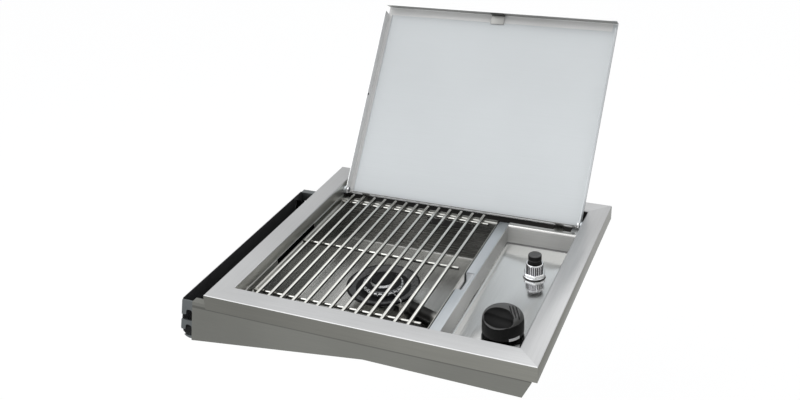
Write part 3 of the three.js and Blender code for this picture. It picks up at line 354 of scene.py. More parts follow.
# The dish's inner slope takes a lighter, glossier copy of its black: painted sheen.
coated("dish_black", (0.007, 0.007, 0.008), 0.35, mottle=0.3, fine=500.0, specular=0.12)
coated("dish_band", (0.050, 0.050, 0.050), 0.28, mottle=0.3, fine=500.0, coat=0.3)
coated("enamel", (0.010, 0.010, 0.011), 0.30, mottle=0.3, fine=500.0, coat=0.2)
coated("ceramic", (0.30, 0.28, 0.25), 0.22, mottle=0.04, coat=0.4)
# A dead black without gloss: painted shade on the end channel's inner face and on the channel web; the lid's
# plug is made of it too.
coated("void", (0.004, 0.004, 0.004), 0.9, specular=0.0)
coated("black_paint", (0.052, 0.052, 0.054), 0.50)
coated("plastic", (0.034, 0.034, 0.034), 0.42, fine=2200.0, bump=0.2, specular=0.9)
# A darker copy of the plastic with little gloss: painted shade on the knob's hollows, ripples and side and on
# the button's side.
coated("plastic_dark", (0.012, 0.012, 0.012), 0.55, fine=2200.0, bump=0.2, specular=0.14)
coated("white", (0.80, 0.80, 0.81), 0.35, mottle=0.03)

# The material of a node that takes only one, by its slot in the record.
BY_SLOT = {
    "frame_steel": "border_x", "panel_steel": "panel", "polished_steel": "polished", "zinc_plate": "zinc",
    "liner_steel": "liner", "chrome": "chrome", "brass": "brass", "burner_steel": "spring",
    "black_paint": "black_paint", "black_enamel": "enamel", "black_plastic": "plastic",
    "white_plastic": "white", "ceramic": "ceramic",
}


# Pieces

# Angles between faces, in degrees: smooth to look at, sharp enough for a bevel, and as good as flat.
SMOOTH_BELOW = 35.0
SHARP_ABOVE = 28.0
FLAT_BELOW = 0.6

# Widths of broken edges, in millimetres, and how round they are.
UNBROKEN, LID_EDGE, LINER_EDGE, SMALL_EDGE, PLAIN_EDGE, HEAVY_EDGE = 0.0, 0.12, 0.15, 0.2, 0.25, 0.3
ROUNDNESS = 0.6

# Distances in metres under which vertices, or a vertex and a cut, are one.
WELD_DISTANCE = 2e-6
CUT_DISTANCE = 1e-7


def new_object(name, data):
    obj = bpy.data.objects.new(name, data)
    bpy.context.scene.collection.objects.link(obj)
    return obj


def extra(name, mesh, body, materials):
    """A piece that no CAD node has."""
    obj = new_object(name, mesh)
    for key in materials:
        mesh.materials.append(MATERIALS[key])
    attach(obj, body)
    return obj


def stand_in(node, name, mesh, materials):
    """A piece that is shown in a CAD node's place, with its body."""
    obj = extra(name, mesh, BODIES[node], materials)
    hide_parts(node)
    return obj


def finish_mesh(bm, name, smooth_below=SMOOTH_BELOW):
    """A mesh with smooth faces, and hard edges where they meet at more than an angle in degrees."""
    bmesh.ops.recalc_face_normals(bm, faces=bm.faces)
    for face in bm.faces:
        face.smooth = True
    for edge in bm.edges:
        edge.smooth = len(edge.link_faces) == 2 and edge.calc_face_angle(math.pi) < math.radians(smooth_below)
    mesh = bpy.data.meshes.new(name)
    bm.to_mesh(mesh)
    bm.free()
    return mesh


def bevel(bm, edges, width, segments):
    bmesh.ops.bevel(bm, geom=edges, offset=width * MM, segments=segments, profile=ROUNDNESS,
                    affect="EDGES", clamp_overlap=True, material=-1)


def dressed(node, materials, width, rule=None, segments=2, cuts=()):
    """A copy of a CAD node with its edges broken, as deburred sheet and machined pieces have.

    The rule names a face's material from its place in corner millimetres and its direction. The cuts,
    each a place and a direction, part faces where the material changes within one of them.
    """
    bm = bmesh.new()
    bm.from_mesh(NODES[node].data)
    bmesh.ops.remove_doubles(bm, verts=bm.verts, dist=WELD_DISTANCE)
    for place, direction in cuts:
        bmesh.ops.bisect_plane(bm, geom=bm.verts[:] + bm.edges[:] + bm.faces[:], dist=CUT_DISTANCE,
                               plane_co=at(*place), plane_no=direction)
    bm.normal_update()
    if rule:
        for face in bm.faces:
            name = rule((face.calc_center_median() - CORNER) / MM, face.normal)
            face.material_index = materials.index(name)
    bmesh.ops.dissolve_limit(bm, angle_limit=math.radians(FLAT_BELOW), verts=bm.verts, edges=bm.edges,
                             delimit={"MATERIAL"})
    if width:
        bevel(bm, [edge for edge in bm.edges if len(edge.link_faces) == 2
                   and edge.calc_face_angle(0) > math.radians(SHARP_ABOVE)], width, segments)
    name = node + "_dressed"
    return stand_in(node, name, finish_mesh(bm, name), materials)


def paint(obj, materials, rule):
    """Gives each face of a finished piece the material that the rule names."""
    for face in obj.data.polygons:
        name = rule((face.center - CORNER) / MM, face.normal)
        face.material_index = materials.index(name)


# Round shapes

TINY = 1e-6


def shaped_ring(bm, place, radius_at, level, count):
    """Vertices round an axis, at a radius that depends on the angle."""
    vertices = []
    for i in range(count):
        angle = 2 * math.pi * i / count
        radius = radius_at(angle)
        vertices.append(bm.verts.new(place(radius * math.cos(angle), radius * math.sin(angle), level)))
    return vertices


def ring(bm, place, radius, level, count):
    """Vertices round an axis, or one vertex where the radius is nothing."""
    if radius < TINY:
        return [bm.verts.new(place(0, 0, level))]
    return shaped_ring(bm, place, lambda angle: radius, level, count)


def join_rings(bm, rings):
    """Faces from each ring to the next."""
    for a, b in zip(rings, rings[1:]):
        for i in range(max(len(a), len(b))):
            corners = [a[i % len(a)], a[(i + 1) % len(a)], b[(i + 1) % len(b)], b[i % len(b)]]
            corners = list(dict.fromkeys(corners))
            if len(corners) > 2:
                bm.faces.new(corners)


def upright(centre):
    """Places round a vertical line, from the two distances to it and the level."""
    return lambda x, y, level: at(centre[0] + x, centre[1] + y, level)


def turned(profile, centre, count=72):
    """Turns a closed line of (radius, level) pairs about a vertical line."""
    bm = bmesh.new()
    rings = [ring(bm, upright(centre), radius, level, count) for radius, level in profile]
    join_rings(bm, rings + rings[:1])
    return bm


ROD_TIP = 0.8
ROD_TIP_STEPS = 4


def rod(start, end, radius, count=24):
    """A round bar between two places, with rounded ends."""
    start, end = Vector(start), Vector(end)
    length = (end - start).length
    turn = (end - start).to_track_quat("Z", "Y").to_matrix()

    def place(x, y, z):
        return at(*(start + turn @ Vector((x, y, z))))

    flat = radius - ROD_TIP
    angles = [math.pi / 2 * i / ROD_TIP_STEPS for i in range(ROD_TIP_STEPS + 1)]
    tip = [(flat + ROD_TIP * math.sin(angle), ROD_TIP - ROD_TIP * math.cos(angle)) for angle in angles]
    profile = [(0, 0)] + tip + [(r, length - level) for r, level in reversed(tip)] + [(0, length)]
    bm = bmesh.new()
    join_rings(bm, [ring(bm, place, r, level, count) for r, level in profile])
    return bm


def put(bm, place, angle, axis):
    """Turns what was made at the corner about an axis there and then moves it to a place."""
    matrix = Matrix.Translation(at(*place)) @ Matrix.Rotation(angle, 4, axis) @ Matrix.Translation(-CORNER)
    bmesh.ops.transform(bm, verts=bm.verts, matrix=matrix)
    return bm


# Frame and panels. A face looks along an axis where its direction's share on it is past a limit.

LOOKS = 0.5
PANEL_LOOKS = 0.3
FRAME_WIDTH, FRAME_DEPTH, _ = size_of("top_frame")

# Distances from the frame's outside, to the skirt's skin and to all that its fold hides.
OUTER_SKIN = 0.5
FOLD_DEPTH = 6


def frame_rule(place, normal):
    """The border by its grain, the skirt, the inner lip and what the fold hides."""
    from_side = min(place.x, FRAME_WIDTH - place.x)
    from_end = min(place.y, FRAME_DEPTH - place.y)
    margin = min(from_side, from_end)
    if abs(normal.z) > LOOKS:
        return "border_x" if from_end < from_side else "border_y"
    if place.x > FRAME_WIDTH - OUTER_SKIN and normal.x > LOOKS:
        return "skirt_right"
    if margin < OUTER_SKIN:
        return "skirt"
    return "inside" if margin < FOLD_DEPTH or normal.y < -LOOKS else "lip"


def front_rule(place, normal):
    return "inside" if normal.y > LOOKS else "panel"


def rear_rule(place, normal):
    return "inside" if normal.y < -LOOKS else "panel"


def right_rule(place, normal):
    return "inside" if normal.x < -PANEL_LOOKS else "right"


RISING, FALLING = (1, -1, 0), (1, 1, 0)
MITRES = (((0, 0, 0), RISING), ((FRAME_WIDTH, 0, 0), FALLING),
          ((FRAME_WIDTH, FRAME_DEPTH, 0), RISING), ((0, FRAME_DEPTH, 0), FALLING))

FRAME_FINISHES = ("border_x", "border_y", "skirt", "lip", "skirt_right", "inside")

dressed("top_frame", FRAME_FINISHES, PLAIN_EDGE, frame_rule, segments=3, cuts=MITRES)
dressed("front_panel", ("panel", "inside"), SMALL_EDGE, front_rule)
dressed("rear_panel", ("panel", "inside"), SMALL_EDGE, rear_rule)
dressed("left_rear_panel", ("panel",), SMALL_EDGE)
dressed("right_panel", ("right", "inside"), SMALL_EDGE, right_rule)

# End channel and hook brackets

CHANNEL_RIGHT = 2
WEB_MIDDLE = 285
WEB_THICKNESS = 1.2

# The channel's section as (x, level) pairs.
WEB_SECTION = ((-34.3, -22), (-41.9, -56.9), (-41.2, -63.5), (-36.8, -68.5), (-30.3, -69.8), (-8.3, -67.4),
               (-3.4, -65.6), (-0.1, -61.9), (1.1, -56.8), (1.1, -22))


def channel_rule(place, normal):
    """The right face, which looks into the body, is in shade."""
    return "void" if normal.x > LOOKS and place.x > CHANNEL_RIGHT else "black_paint"


def channel_web():
    """A dead black plate across the channel, in its section, that closes the view through the rear hook
    slots: a painted shadow.
    """
    bm = bmesh.new()
    ends = [WEB_MIDDLE - WEB_THICKNESS / 2, WEB_MIDDLE + WEB_THICKNESS / 2]
    near, far = [[bm.verts.new(at(x, y, level)) for x, level in WEB_SECTION] for y in ends]
    join_rings(bm, [near, far])
    bm.faces.new(near)
    bm.faces.new(far)
    bmesh.ops.recalc_face_normals(bm, faces=bm.faces)
    bevel(bm, bm.edges[:], PLAIN_EDGE, 2)
    return finish_mesh(bm, "channel_web")


dressed("end_channel", ("black_paint", "void"), HEAVY_EDGE, channel_rule)
extra("channel_web", channel_web(), "root", ("void",))
dressed("hook_bracket_front", ("bracket",), HEAVY_EDGE)
dressed("hook_bracket_rear", ("bracket",), HEAVY_EDGE)

# Burner pan, control tray, divider and rear straps

WALL_LOOKS = 0.6
TRAY_FLAT, TRAY_SLOPE = 0.95, 0.2

# Levels and a place that part the walls from the rims and floors.
PAN_RIM = -27
PAN_REAR = 290
TRAY_FLOOR, TRAY_RIM = -40, -35


def pan_rule(place, normal):
    """The rim, the inside of the right and rear walls, and the rest."""
    if place.z > PAN_RIM:
        return "ledge"
    if normal.x < -WALL_LOOKS:
        return "pan_side"
    return "pan_rear" if normal.y < -WALL_LOOKS and place.y > PAN_REAR else "pan"


def tray_rule(place, normal):
    """The floor, the rim, the walls and the bends between them."""
    slope = abs(normal.z)
    if slope > TRAY_FLAT:
        return "tray" if place.z < TRAY_FLOOR else "polished"
    if slope < TRAY_SLOPE:
        return "tray_wall"
    if place.z > TRAY_RIM:
        return "polished"
    return "tray_bend" if normal.y < -TRAY_SLOPE else "tray"


dressed("burner_pan", ("pan", "pan_rear", "ledge", "pan_side"), UNBROKEN, pan_rule)
dressed("divider_plate", ("zinc",), PLAIN_EDGE)
dressed("control_tray", ("tray", "tray_wall", "tray_bend", "polished"), UNBROKEN, tray_rule)
for node, material in (("rear_strap_1", "ledge"), ("rear_strap_2", "ledge"), ("rear_strap_3", "bright")):
    dressed(node, (material,), SMALL_EDGE)

# Lid. Its rules look at each face as it lies with the lid closed, with places from the pivot.

LID_PIVOT = Vector((0, *from_corner(JOINTS["lid_hinge"]["pos_m"])[1:]))
LID_CLOSE = Matrix.Rotation(math.radians(JOINTS["lid_hinge"]["range_deg"][1]), 3, "X")
LIP_LOOKS = 0.25
REAR_LOOKS = 0.3

# The right ends of the skin and the liner, what is still at an end, and how far the liner is drawn out there.
LID_RIGHT = box_of("lid_skin")[1][0]
LINER_GAP = 0.1
LINER_RIGHT = box_of("lid_liner")[1][0] - LINER_GAP
RIGHT_MARGIN = 2
LINER_STRETCH = 4.2

# How far the front edge is from the pivot, and how deep the lip, the clip's dark end and the band are there.
LID_REACH = 283.6
LIP_DEPTH = 3
CLIP_DEPTH = 4
BAND_DEPTH = 13.2

# Where the shade at the hinges ends, and the levels of the right skirt's shade and of the skirts' edges.
LID_REAR = -8
LID_SHADE = 7.0
SKIRT_EDGE = 3


def as_closed(place, normal):
    """A face's place and direction with the lid closed."""
    return LID_CLOSE @ (place - LID_PIVOT), LID_CLOSE @ normal


def lid_rule(place, normal):
    """The skin outside, folds and inner faces painted lighter, painted shade at the hinges, lip and right
    skirt's top, and the strip beside the liner painted in its colour.
    """
    place, normal = as_closed(place, normal)
    from_front = place.y + LID_REACH
    if normal.x > WALL_LOOKS:
        if place.x < LID_RIGHT - RIGHT_MARGIN:
            return "lid_fold"
        return "lid_dark" if place.z > LID_SHADE else "liner"
    if place.y > LID_REAR and (normal.z < -WALL_LOOKS or normal.y < -REAR_LOOKS):
        return "lid_dark"
    if from_front < LIP_DEPTH and normal.y > LIP_LOOKS:
        return "lid_edge" if normal.z < -LIP_LOOKS else "lid_lip"
    if normal.z < -WALL_LOOKS:
        if place.x > LINER_RIGHT:
            return "liner"
        if place.z < SKIRT_EDGE:
            return "lid_edge"
        return "lid_band" if from_front < BAND_DEPTH else "lid_side"
    if normal.z > WALL_LOOKS or normal.y < -WALL_LOOKS:
        return "lid_skin"
    return "lid_side" if abs(normal.x) > WALL_LOOKS else "lid_edge"


# The liner's faces that look towards the hinges with the lid closed take the darkest lid tone: a painted
# shadow line along that edge.
def liner_rule(place, normal):
    place, normal = as_closed(place, normal)
    return "lid_dark" if normal.y > WALL_LOOKS else "liner"


# The clip's faces that look towards the hinges with the lid closed take the darker copy: painted shade. The
# clip's front end is dark too.
def clip_rule(place, normal):
    place, normal = as_closed(place, normal)
    return "clip_dark" if normal.y > LOOKS or place.y + LID_REACH < CLIP_DEPTH else "clip"


LID_FINISHES = ("lid_skin", "liner", "lid_side", "lid_band", "lid_dark", "lid_edge", "lid_fold", "lid_lip")

# A vector before the matrix is turned the other way, from the closed lid to the open one.
LID_CUTS = (((LINER_RIGHT, 0, 0), (1, 0, 0)),
            (LID_PIVOT + Vector((0, 0, LID_SHADE)) @ LID_CLOSE, Vector((0, 0, 1)) @ LID_CLOSE))

dressed("lid_skin", LID_FINISHES, LID_EDGE, lid_rule, cuts=LID_CUTS)

liner = dressed("lid_liner", ("liner", "lid_dark"), LINER_EDGE, liner_rule)
for vertex in liner.data.vertices:
    if vertex.co.x > at(LINER_RIGHT - RIGHT_MARGIN, 0, 0).x:
        vertex.co.x += LINER_STRETCH * MM

# A small plug in the left skirt.
PLUG_PLACE = (31.4, 406.2, 103.6)
PLUG_PROFILE = ((0, 0), (1.5, 0), (1.7, 0.15), (1.7, 0.45), (1.45, 0.65), (0.9, 0.5), (0, 0.45))
PLUG_COUNT = 28
plug = put(turned(PLUG_PROFILE, (0, 0), PLUG_COUNT), PLUG_PLACE, math.pi / 2, "Y")
extra("lid_plug", finish_mesh(plug, "lid_plug"), "lid", ("void",))
dressed("lid_clip", ("clip", "clip_dark"), SMALL_EDGE, clip_rule)

# Grate

# Half of a weld's length, width and height.
WELD_SIZE = (1.9, 1.9, 0.9)
RODS = [node for node in NODES if node.startswith("grate_rod")]
BARS = [node for node in NODES if node.startswith("grate_bar")]


def grate_bar(node, axis):
    """A rod or a bar, as long and as thick as its node and along the same axis."""
    low, high = box_of(node)
    start, end = middle_of(node), middle_of(node)
    start[axis], end[axis] = low[axis], high[axis]
    name = node.replace("grate_", "")
    stand_in(node, name, finish_mesh(rod(start, end, size_of(node)[2] / 2), name), ("rod",))


def grate_welds():
    """A flat blob where each rod crosses each bar."""
    bm = bmesh.new()
    shape = Matrix.Diagonal((*(size * MM for size in WELD_SIZE), 1))
    for upper in map(middle_of, RODS):
        for lower in map(middle_of, BARS):
            place = Matrix.Translation(at(upper[0], lower[1], (upper[2] + lower[2]) / 2))
            bmesh.ops.create_icosphere(bm, subdivisions=2, radius=1.0, matrix=place @ shape)
    return finish_mesh(bm, "grate_welds")


for node in RODS:
    grate_bar(node, 1)
for node in BARS:
    grate_bar(node, 0)
extra("grate_welds", grate_welds(), "root", ("weld",))

# Knob

KNOB = middle_of("knob")[:2]
KNOB_FOOT, KNOB_TOP = (corner[2] for corner in box_of("knob"))
KNOB_RADIUS = size_of("knob")[0] / 2
KNOB_BORE, KNOB_HOLLOW = 13, 7.2
KNOB_CROWN, CROWN_RISE = 9.5, 0.05
CROWN_STEPS = 16
KNOB_COUNT = 128

# How far the side leans in at each height over the foot, then at the shoulder, and the crown's pull.
KNOB_SIDE = ((0, 0), (0, 5), (0.2, 13))
KNOB_SHOULDER = (0.4, 15)
KNOB_PULL = (0.8, 1.6)

# The carved knob: its grid's step, how it is softened, its faces and the angle up to which they look smooth.
KNOB_VOXEL = 0.5
SOFTEN_SHARE, SOFTEN_STEPS = 0.5, 4
KNOB_FACES = 11000
KNOB_SMOOTH = 50.0

# Each hollow is part of an ellipsoid: its length, reach and depth, and its middle's place and level.
Scoop = namedtuple("Scoop", "length reach depth middle level")
SCOOPS = (Scoop(44, 48, 11.5, -21.5, KNOB_TOP), Scoop(38, 19, 9, -13.0, KNOB_TOP - 5.7))
SCOOP_TURN = math.radians(-11)
SCOOP_MARGIN = 0.5
SCOOP_LIMIT = 21.5
SCOOP_COUNT = 72

# The ripples are grooves of a round cutter at these distances from the axis, each a step above the last.
RIPPLES = (16.2, 12.5, 8.8)
RIPPLE_TURN = math.radians(26)
RIPPLE_ENDS = (-15, 9)
RIPPLE_END_MARGIN = 1
RIPPLE_RADIUS = 1.5
RIPPLE_COUNT = 32
RIPPLE_LEVEL, RIPPLE_STEP = KNOB_TOP - 1.5, 0.75
RIPPLE_HALF = 0.75
CROWN_LOOKS = 0.3


def bezier(start, pull, end, steps):
    """Points of a quadratic curve."""
    points = []
    for i in range(steps + 1):
        t = i / steps
        points.append(tuple((1 - t) ** 2 * a + 2 * t * (1 - t) * b + t * t * c
                            for a, b, c in zip(start, pull, end)))
    return points


def loose(name, bm):
    """An object that is used up while the knob is carved."""
    bmesh.ops.recalc_face_normals(bm, faces=bm.faces)
    mesh = bpy.data.meshes.new(name)
    bm.to_mesh(mesh)
    bm.free()
    return new_object(name, mesh)


def knob_blank():
    """The knob before it is carved: a bore below, a side that leans in and a round crown."""
    ceiling = KNOB_FOOT + KNOB_HOLLOW
    inset, height = KNOB_SHOULDER
    pull, fall = KNOB_PULL
    bore = [(0, ceiling), (KNOB_BORE, ceiling), (KNOB_BORE, KNOB_FOOT)]
    side = [(KNOB_RADIUS - lean, KNOB_FOOT + rise) for lean, rise in KNOB_SIDE]
    crown = bezier((KNOB_RADIUS - inset, KNOB_FOOT + height), (KNOB_RADIUS - pull, KNOB_TOP - fall),
                   (KNOB_CROWN, KNOB_TOP), CROWN_STEPS)
    middle = [(0, KNOB_TOP + CROWN_RISE)]
    return loose("knob_body", turned(bore + side + crown + middle, KNOB, KNOB_COUNT))


def scoop_cutter(index, scoop):
    bm = bmesh.new()
    turn = Matrix.Rotation(SCOOP_TURN, 4, "Z")
    shift = Matrix.Translation(Vector((0, scoop.middle, 0)) * MM)
    shape = Matrix.Diagonal((scoop.length / 2 * MM, scoop.reach / 2 * MM, scoop.depth * MM, 1))
    bmesh.ops.create_uvsphere(bm, u_segments=SCOOP_COUNT, v_segments=SCOOP_COUNT // 2, radius=1.0,
                              matrix=Matrix.Translation(at(*KNOB, scoop.level)) @ turn @ shift @ shape)
    return loose(f"scoop_{index}", bm)


def ripple_cutter(index, distance):
    start, end = ((distance, along, 0) for along in RIPPLE_ENDS)
    place = (*KNOB, RIPPLE_LEVEL + index * RIPPLE_STEP)
    bm = rod(start, end, RIPPLE_RADIUS, RIPPLE_COUNT)
    return loose(f"ripple_{index}", put(bm, place, RIPPLE_TURN, "Z"))


def evaluated(obj):
    bpy.context.view_layer.update()
    return obj.evaluated_get(bpy.context.evaluated_depsgraph_get())


def carve(name, body, tools):
    """Cuts the tools out of the body and softens every edge, as a moulded part has them."""
    for tool in tools:
        cutter = body.modifiers.new(tool.name, "BOOLEAN")
        cutter.operation = "DIFFERENCE"
        cutter.solver = "EXACT"
        cutter.object = tool
    remesh = body.modifiers.new("remesh", "REMESH")
    remesh.mode = "VOXEL"
    remesh.voxel_size = KNOB_VOXEL * MM
    soften = body.modifiers.new("soften", "SMOOTH")
    soften.factor = SOFTEN_SHARE
    soften.iterations = SOFTEN_STEPS
    count = len(evaluated(body).data.polygons)
    thin = body.modifiers.new("thin", "DECIMATE")
    thin.ratio = min(1.0, KNOB_FACES / (2 * count))
    mesh = bpy.data.meshes.new_from_object(evaluated(body))
    for obj in [body, *tools]:
        bpy.data.objects.remove(obj, do_unlink=True)
    bm = bmesh.new()
    bm.from_mesh(mesh)
    bpy.data.meshes.remove(mesh)
    return finish_mesh(bm, name, KNOB_SMOOTH)


def from_knob(place, turn):
    """A place from the knob's axis, turned back by the angle at which a cutter lies."""
    return Matrix.Rotation(-turn, 3, "Z") @ (place - Vector((*KNOB, 0)))


def in_scoop(place, scoop):
    """Whether a place lies in a hollow or within its margin, and not near the knob's side."""
    gap = Vector((place.x / (scoop.length / 2 + SCOOP_MARGIN),
                  (place.y - scoop.middle) / (scoop.reach / 2 + SCOOP_MARGIN),
                  (place.z - scoop.level) / (scoop.depth + SCOOP_MARGIN)))
    return gap.length < 1 and place.xy.length < SCOOP_LIMIT


def in_ripple(place, distance):
    first, last = RIPPLE_ENDS
    return (first + RIPPLE_END_MARGIN < place.y < last - RIPPLE_END_MARGIN
            and abs(place.x - distance) < RIPPLE_HALF)


def knob_rule(place, normal):
    """The hollows, the ripples and the side are in shade, the crown and the rim catch the light."""
    hollow = any(in_scoop(from_knob(place, SCOOP_TURN), scoop) for scoop in SCOOPS)
    rippled = any(in_ripple(from_knob(place, RIPPLE_TURN), distance) for distance in RIPPLES)
    return "plastic_dark" if normal.z < CROWN_LOOKS or hollow or rippled else "plastic"


PLASTICS = ("plastic", "plastic_dark")
cutters = [scoop_cutter(index, scoop) for index, scoop in enumerate(SCOOPS)]
cutters += [ripple_cutter(index, distance) for index, distance in enumerate(RIPPLES)]
grip = stand_in("knob", "knob_grip", carve("knob_grip", knob_blank(), cutters), PLASTICS)
paint(grip, PLASTICS, knob_rule)
dressed("knob_pointer", ("white",), PLAIN_EDGE, segments=3)

# Igniter: a washer, a dished flange, a nut, a knurled sleeve and the button's cap

IGNITER = middle_of("igniter_collar")[:2]

# Closed lines of (radius, level) pairs.
WASHER_PROFILE = ((7.9, -47.2), (14.1, -47.2), (14.3, -47.0), (14.3, -46.4), (14.1, -46.2), (7.9, -46.2))
DISH_PROFILE = ((7.9, -46.1), (13.9, -46.1), (14.5, -45.7), (14.5, -45.3), (14.1, -45.0), (7.9, -45.0))
CAP_PROFILE = ((0, -54.9), (3.0, -54.9), (3.0, -31.5), (6.3, -31.5), (6.3, -32.7), (8.2, -32.7),
               (8.4, -32.4), (8.4, -23.1), (8.1, -22.8), (8.1, -22.3), (8.4, -22.0), (8.4, -17.4),
               (8.2, -16.7), (7.6, -16.2), (6.9, -16.0), (6.3, -16.2), (5.6, -16.7), (4.0, -17.2),
               (2.0, -17.4), (0, -17.45))

# Distances from the nut's axis to its flats, corners and bore, and how much is cut off at each level.
NUT_FLAT, NUT_CORNER, NUT_BORE = 12.9, 14.3, 11.1
NUT_CUTS = ((0.5, -44.9), (0.0, -44.5), (0.0, -41.9), (0.35, -41.4), (0.9, -41.0), (2.2, -40.8))
NUT_BORE_LEVELS = (-40.9, -44.9)
NUT_COUNT = 144
NUT_SMOOTH = 25

# The sleeve is ribbed between its profile's second and third point.
SLEEVE_PROFILE = ((10.4, -42.7), (10.9, -42.3), (10.9, -30.2), (10.9, -29.9), (11.0, -29.5), (10.9, -28.6),
                  (10.4, -28.1), (9.9, -28.0), (9.2, -28.3), (8.95, -28.9), (8.95, -38.2), (7.9, -38.2),
                  (7.9, -42.7))
SLEEVE_RIBBED = (1, 2)
SLEEVE_RIBS = 26
SLEEVE_COUNT = SLEEVE_RIBS * 8
SLEEVE_SMOOTH = 40
GROOVE_DEPTH = 0.8
GROOVE_POWER = 0.7
GROOVE_LEVELS = (-42.0, -30.2)
GROOVE_BELOW = 10.6


def igniter_nut():
    """Six flats with rounded corners and a turned chamfer."""
    bm = bmesh.new()
    place = upright(IGNITER)

    def outline(angle):
        sixth = (angle + math.pi / 12) % (math.pi / 3) - math.pi / 6
        return min(NUT_FLAT / math.cos(sixth), NUT_CORNER)

    rings = []
    for cut, level in NUT_CUTS:
        rings.append(shaped_ring(bm, place, lambda angle: outline(angle) - cut, level, NUT_COUNT))
    rings += [ring(bm, place, NUT_BORE, level, NUT_COUNT) for level in NUT_BORE_LEVELS]
    join_rings(bm, rings + rings[:1])
    return finish_mesh(bm, "igniter_nut", NUT_SMOOTH)


def igniter_sleeve():
    bm = bmesh.new()
    rings = []
    for index, (radius, level) in enumerate(SLEEVE_PROFILE):
        depth = GROOVE_DEPTH if index in SLEEVE_RIBBED else 0.0

        def outline(angle):
            return radius - depth * max(0.0, math.cos(SLEEVE_RIBS * angle)) ** GROOVE_POWER

        rings.append(shaped_ring(bm, upright(IGNITER), outline, level, SLEEVE_COUNT))
    join_rings(bm, rings + rings[:1])
    return finish_mesh(bm, "igniter_sleeve", SLEEVE_SMOOTH)


# Between the levels the ribs' crests and grooves are painted shade.
def sleeve_rule(place, normal):
    low, high = GROOVE_LEVELS
    if not low < place.z < high:
        return "chrome"
    return "groove" if (place.xy - Vector(IGNITER)).length < GROOVE_BELOW else "nickel"


# The button's side is painted shade.
def button_rule(place, normal):
    return "plastic" if normal.z > LOOKS else "plastic_dark"


washer = finish_mesh(turned(WASHER_PROFILE, IGNITER), "igniter_washer")
dish = finish_mesh(turned(DISH_PROFILE, IGNITER), "igniter_dish")
cap = finish_mesh(turned(CAP_PROFILE, IGNITER), "igniter_cap")
extra("igniter_washer", washer, "root", ("plastic",))
stand_in("igniter_flange", "igniter_dish", dish, ("chrome",))
extra("igniter_nut", igniter_nut(), "root", ("chrome",))
SLEEVE_FINISHES = ("chrome", "nickel", "groove")
sleeve = stand_in("igniter_collar", "igniter_sleeve", igniter_sleeve(), SLEEVE_FINISHES)
paint(sleeve, SLEEVE_FINISHES, sleeve_rule)
button = stand_in("igniter_button", "igniter_cap", cap, PLASTICS)
paint(button, PLASTICS, button_rule)

# Springs

WIRE = 0.9
WIRE_COUNT = 10
STEPS_PER_TURN = 24


def spring(node, centre, radius, foot, top, turns):
    """A coil spring on its foot."""
    bm = bmesh.new()
    steps = STEPS_PER_TURN * turns
    rings = []
    for i in range(steps + 1):
        angle = 2 * math.pi * turns * i / steps
        middle = foot + WIRE / 2 + (top - foot - WIRE) * i / steps

        def place(outward, upward, _):
            x = (radius + outward) * math.cos(angle)
            y = (radius + outward) * math.sin(angle)
            return at(centre[0] + x, centre[1] + y, middle + upward)

        rings.append(ring(bm, place, WIRE / 2, 0, WIRE_COUNT))
    join_rings(bm, rings)
    bm.faces.new(rings[0][::-1])
    bm.faces.new(rings[-1])
    coil = stand_in(node, node + "_coil", finish_mesh(bm, node + "_coil"), ("spring",))
    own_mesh(coil)


spring("knob_spring", KNOB, radius=7.7, foot=-47.1, top=-38.3, turns=4)
spring("igniter_spring", IGNITER, radius=4.8, foot=-60.1, top=-32.3, turns=9)

# Burner, gas train and hinges

DISH_INSIDE = (0.3, 0.97)
DISH_UNDER = -0.1


def dish_rule(place, normal):
    """Grey cast metal below, partly painted light; a glossy slope inside, painted lighter as sheen; and dull
    black on the flats.
    """
    if normal.z < DISH_UNDER:
        return "burner_grey"
    low, high = DISH_INSIDE
    return "dish_band" if low < normal.z < high else "dish_black"


def cap_rule(place, normal):
    return "ring" if abs(normal.z) < WALL_LOOKS else "dish_black"


dressed("burner_dish", ("dish_black", "dish_band", "burner_grey"), PLAIN_EDGE, dish_rule)
dressed("burner_cap", ("dish_black", "ring"), PLAIN_EDGE, cap_rule)
dressed("burner_ring", ("ring",), PLAIN_EDGE)
dressed("burner_body", ("burner_grey",), PLAIN_EDGE)
GAS_AND_SPARK = ["air_shutter", "valve_body", "gas_jet", "gas_inlet", "valve_stem", "spring_collar",
                 "igniter_body", "electrode_ceramic"]
HINGES = [f"hinge_{part}_{side}" for side in ("left", "right") for part in ("pin", "spacer", "nut")]
for node in GAS_AND_SPARK + HINGES:
    dressed(node, (BY_SLOT[SLOTS[node]],), SMALL_EDGE)

# The CAD's own nodes take their slots' materials too.
for node, obj in NODES.items():
    obj.data.materials.clear()
    obj.data.materials.append(MATERIALS[BY_SLOT[SLOTS[node]]])

# Floor and world, in metres. Both are white to the camera and in reflections, and the floor takes shadows.

FLOOR_PLACE = (0.2, 0.0, -0.42)
FLOOR_SIZE = 12.0
FLOOR_TONE = (0.82, 0.82, 0.82, 1)
FLOOR_ROUGHNESS = 0.9
FLOOR_GLOW = 1.07
FLOOR_SHADOW = 0.15
SKY_TONE = (0.62, 0.63, 0.65, 1)
WHITE = (1, 1, 1, 1)


def seen_rays(graph):
    """1 for the rays that show a surface, 0 for those that light one."""
    path = graph.add("LightPath").outputs
    seen = maths(graph, "MAXIMUM", path["Is Camera Ray"], path["Is Glossy Ray"])
    return maths(graph, "MAXIMUM", seen, path["Is Transmission Ray"])


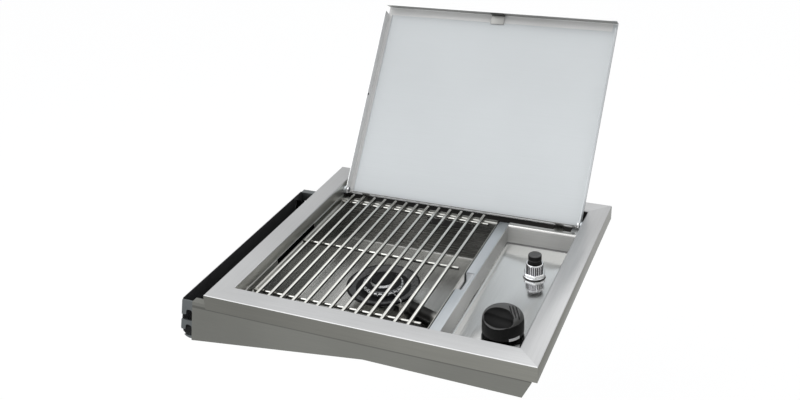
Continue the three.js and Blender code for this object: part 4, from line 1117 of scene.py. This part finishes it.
def floor_material():
    material, graph, shader = new_material("floor")
    graph.feed(shader, {"Base Color": FLOOR_TONE, "Roughness": FLOOR_ROUGHNESS})
    glow = graph.add("Emission", {"Color": WHITE, "Strength": FLOOR_GLOW}).outputs["Emission"]
    share = maths(graph, "MULTIPLY", seen_rays(graph), 1 - FLOOR_SHADOW)
    mixed = graph.add("MixShader", {0: share, 1: shader.outputs["BSDF"], 2: glow}).outputs["Shader"]
    graph.feed(material.node_tree.nodes["Material Output"], {"Surface": mixed})
    return material


def floor():
    bm = bmesh.new()
    bmesh.ops.create_grid(bm, x_segments=1, y_segments=1, size=FLOOR_SIZE,
                          matrix=Matrix.Translation(FLOOR_PLACE))
    mesh = bpy.data.meshes.new("floor")
    bm.to_mesh(mesh)
    bm.free()
    mesh.materials.append(floor_material())
    return new_object("floor", mesh)


def studio():
    world = bpy.data.worlds.new("studio")
    world.use_nodes = True
    graph = Graph(world.node_tree)
    inputs = {"Factor": seen_rays(graph), "A": SKY_TONE, "B": WHITE}
    colour = graph.add("Mix", inputs, data_type="RGBA").outputs["Result"]
    graph.feed(world.node_tree.nodes["Background"], {"Color": colour, "Strength": 1.0})
    return world


floor()
bpy.context.scene.world = studio()

# Lamps, in metres and watts

AIM = Vector((0.24, 0.02, 0.0))


def softbox(name, place, size, power):
    """A rectangular lamp that looks at the object."""
    light = bpy.data.lights.new(name, "AREA")
    light.shape = "RECTANGLE"
    light.size, light.size_y = size
    light.energy = power
    lamp = new_object(name, light)
    lamp.location = place
    lamp.rotation_euler = (AIM - Vector(place)).to_track_quat("-Z", "Y").to_euler()


softbox("key", (-0.9, -0.4, 2.0), size=(1.8, 1.8), power=12)
softbox("fill", (1.9, -1.4, 1.0), size=(1.6, 1.2), power=4)
softbox("rear", (0.8, 1.8, 1.6), size=(1.6, 0.8), power=3)

# Camera. It stands at the photograph's eye, turned from +Y, looking down and rolled.

# Metres, degrees, and millimetres of lens and sensor.
EYE = (0.62281, -0.87435, 0.6126)
HEADING, DOWNWARD, ROLL = 24.31638, 27.34373, -2.82845
LENS, SENSOR_WIDTH = 41.12, 36.0

camera = bpy.data.cameras.new("camera")
camera.lens = LENS
camera.sensor_width = SENSOR_WIDTH
view = new_object("camera", camera)
view.matrix_world = (Matrix.Translation(EYE) @ Matrix.Rotation(math.radians(HEADING), 4, "Z")
                     @ Matrix.Rotation(math.radians(90 - DOWNWARD), 4, "X")
                     @ Matrix.Rotation(math.radians(ROLL), 4, "Z"))
bpy.context.scene.camera = view
bpy.context.scene.view_settings.view_transform = "Standard"
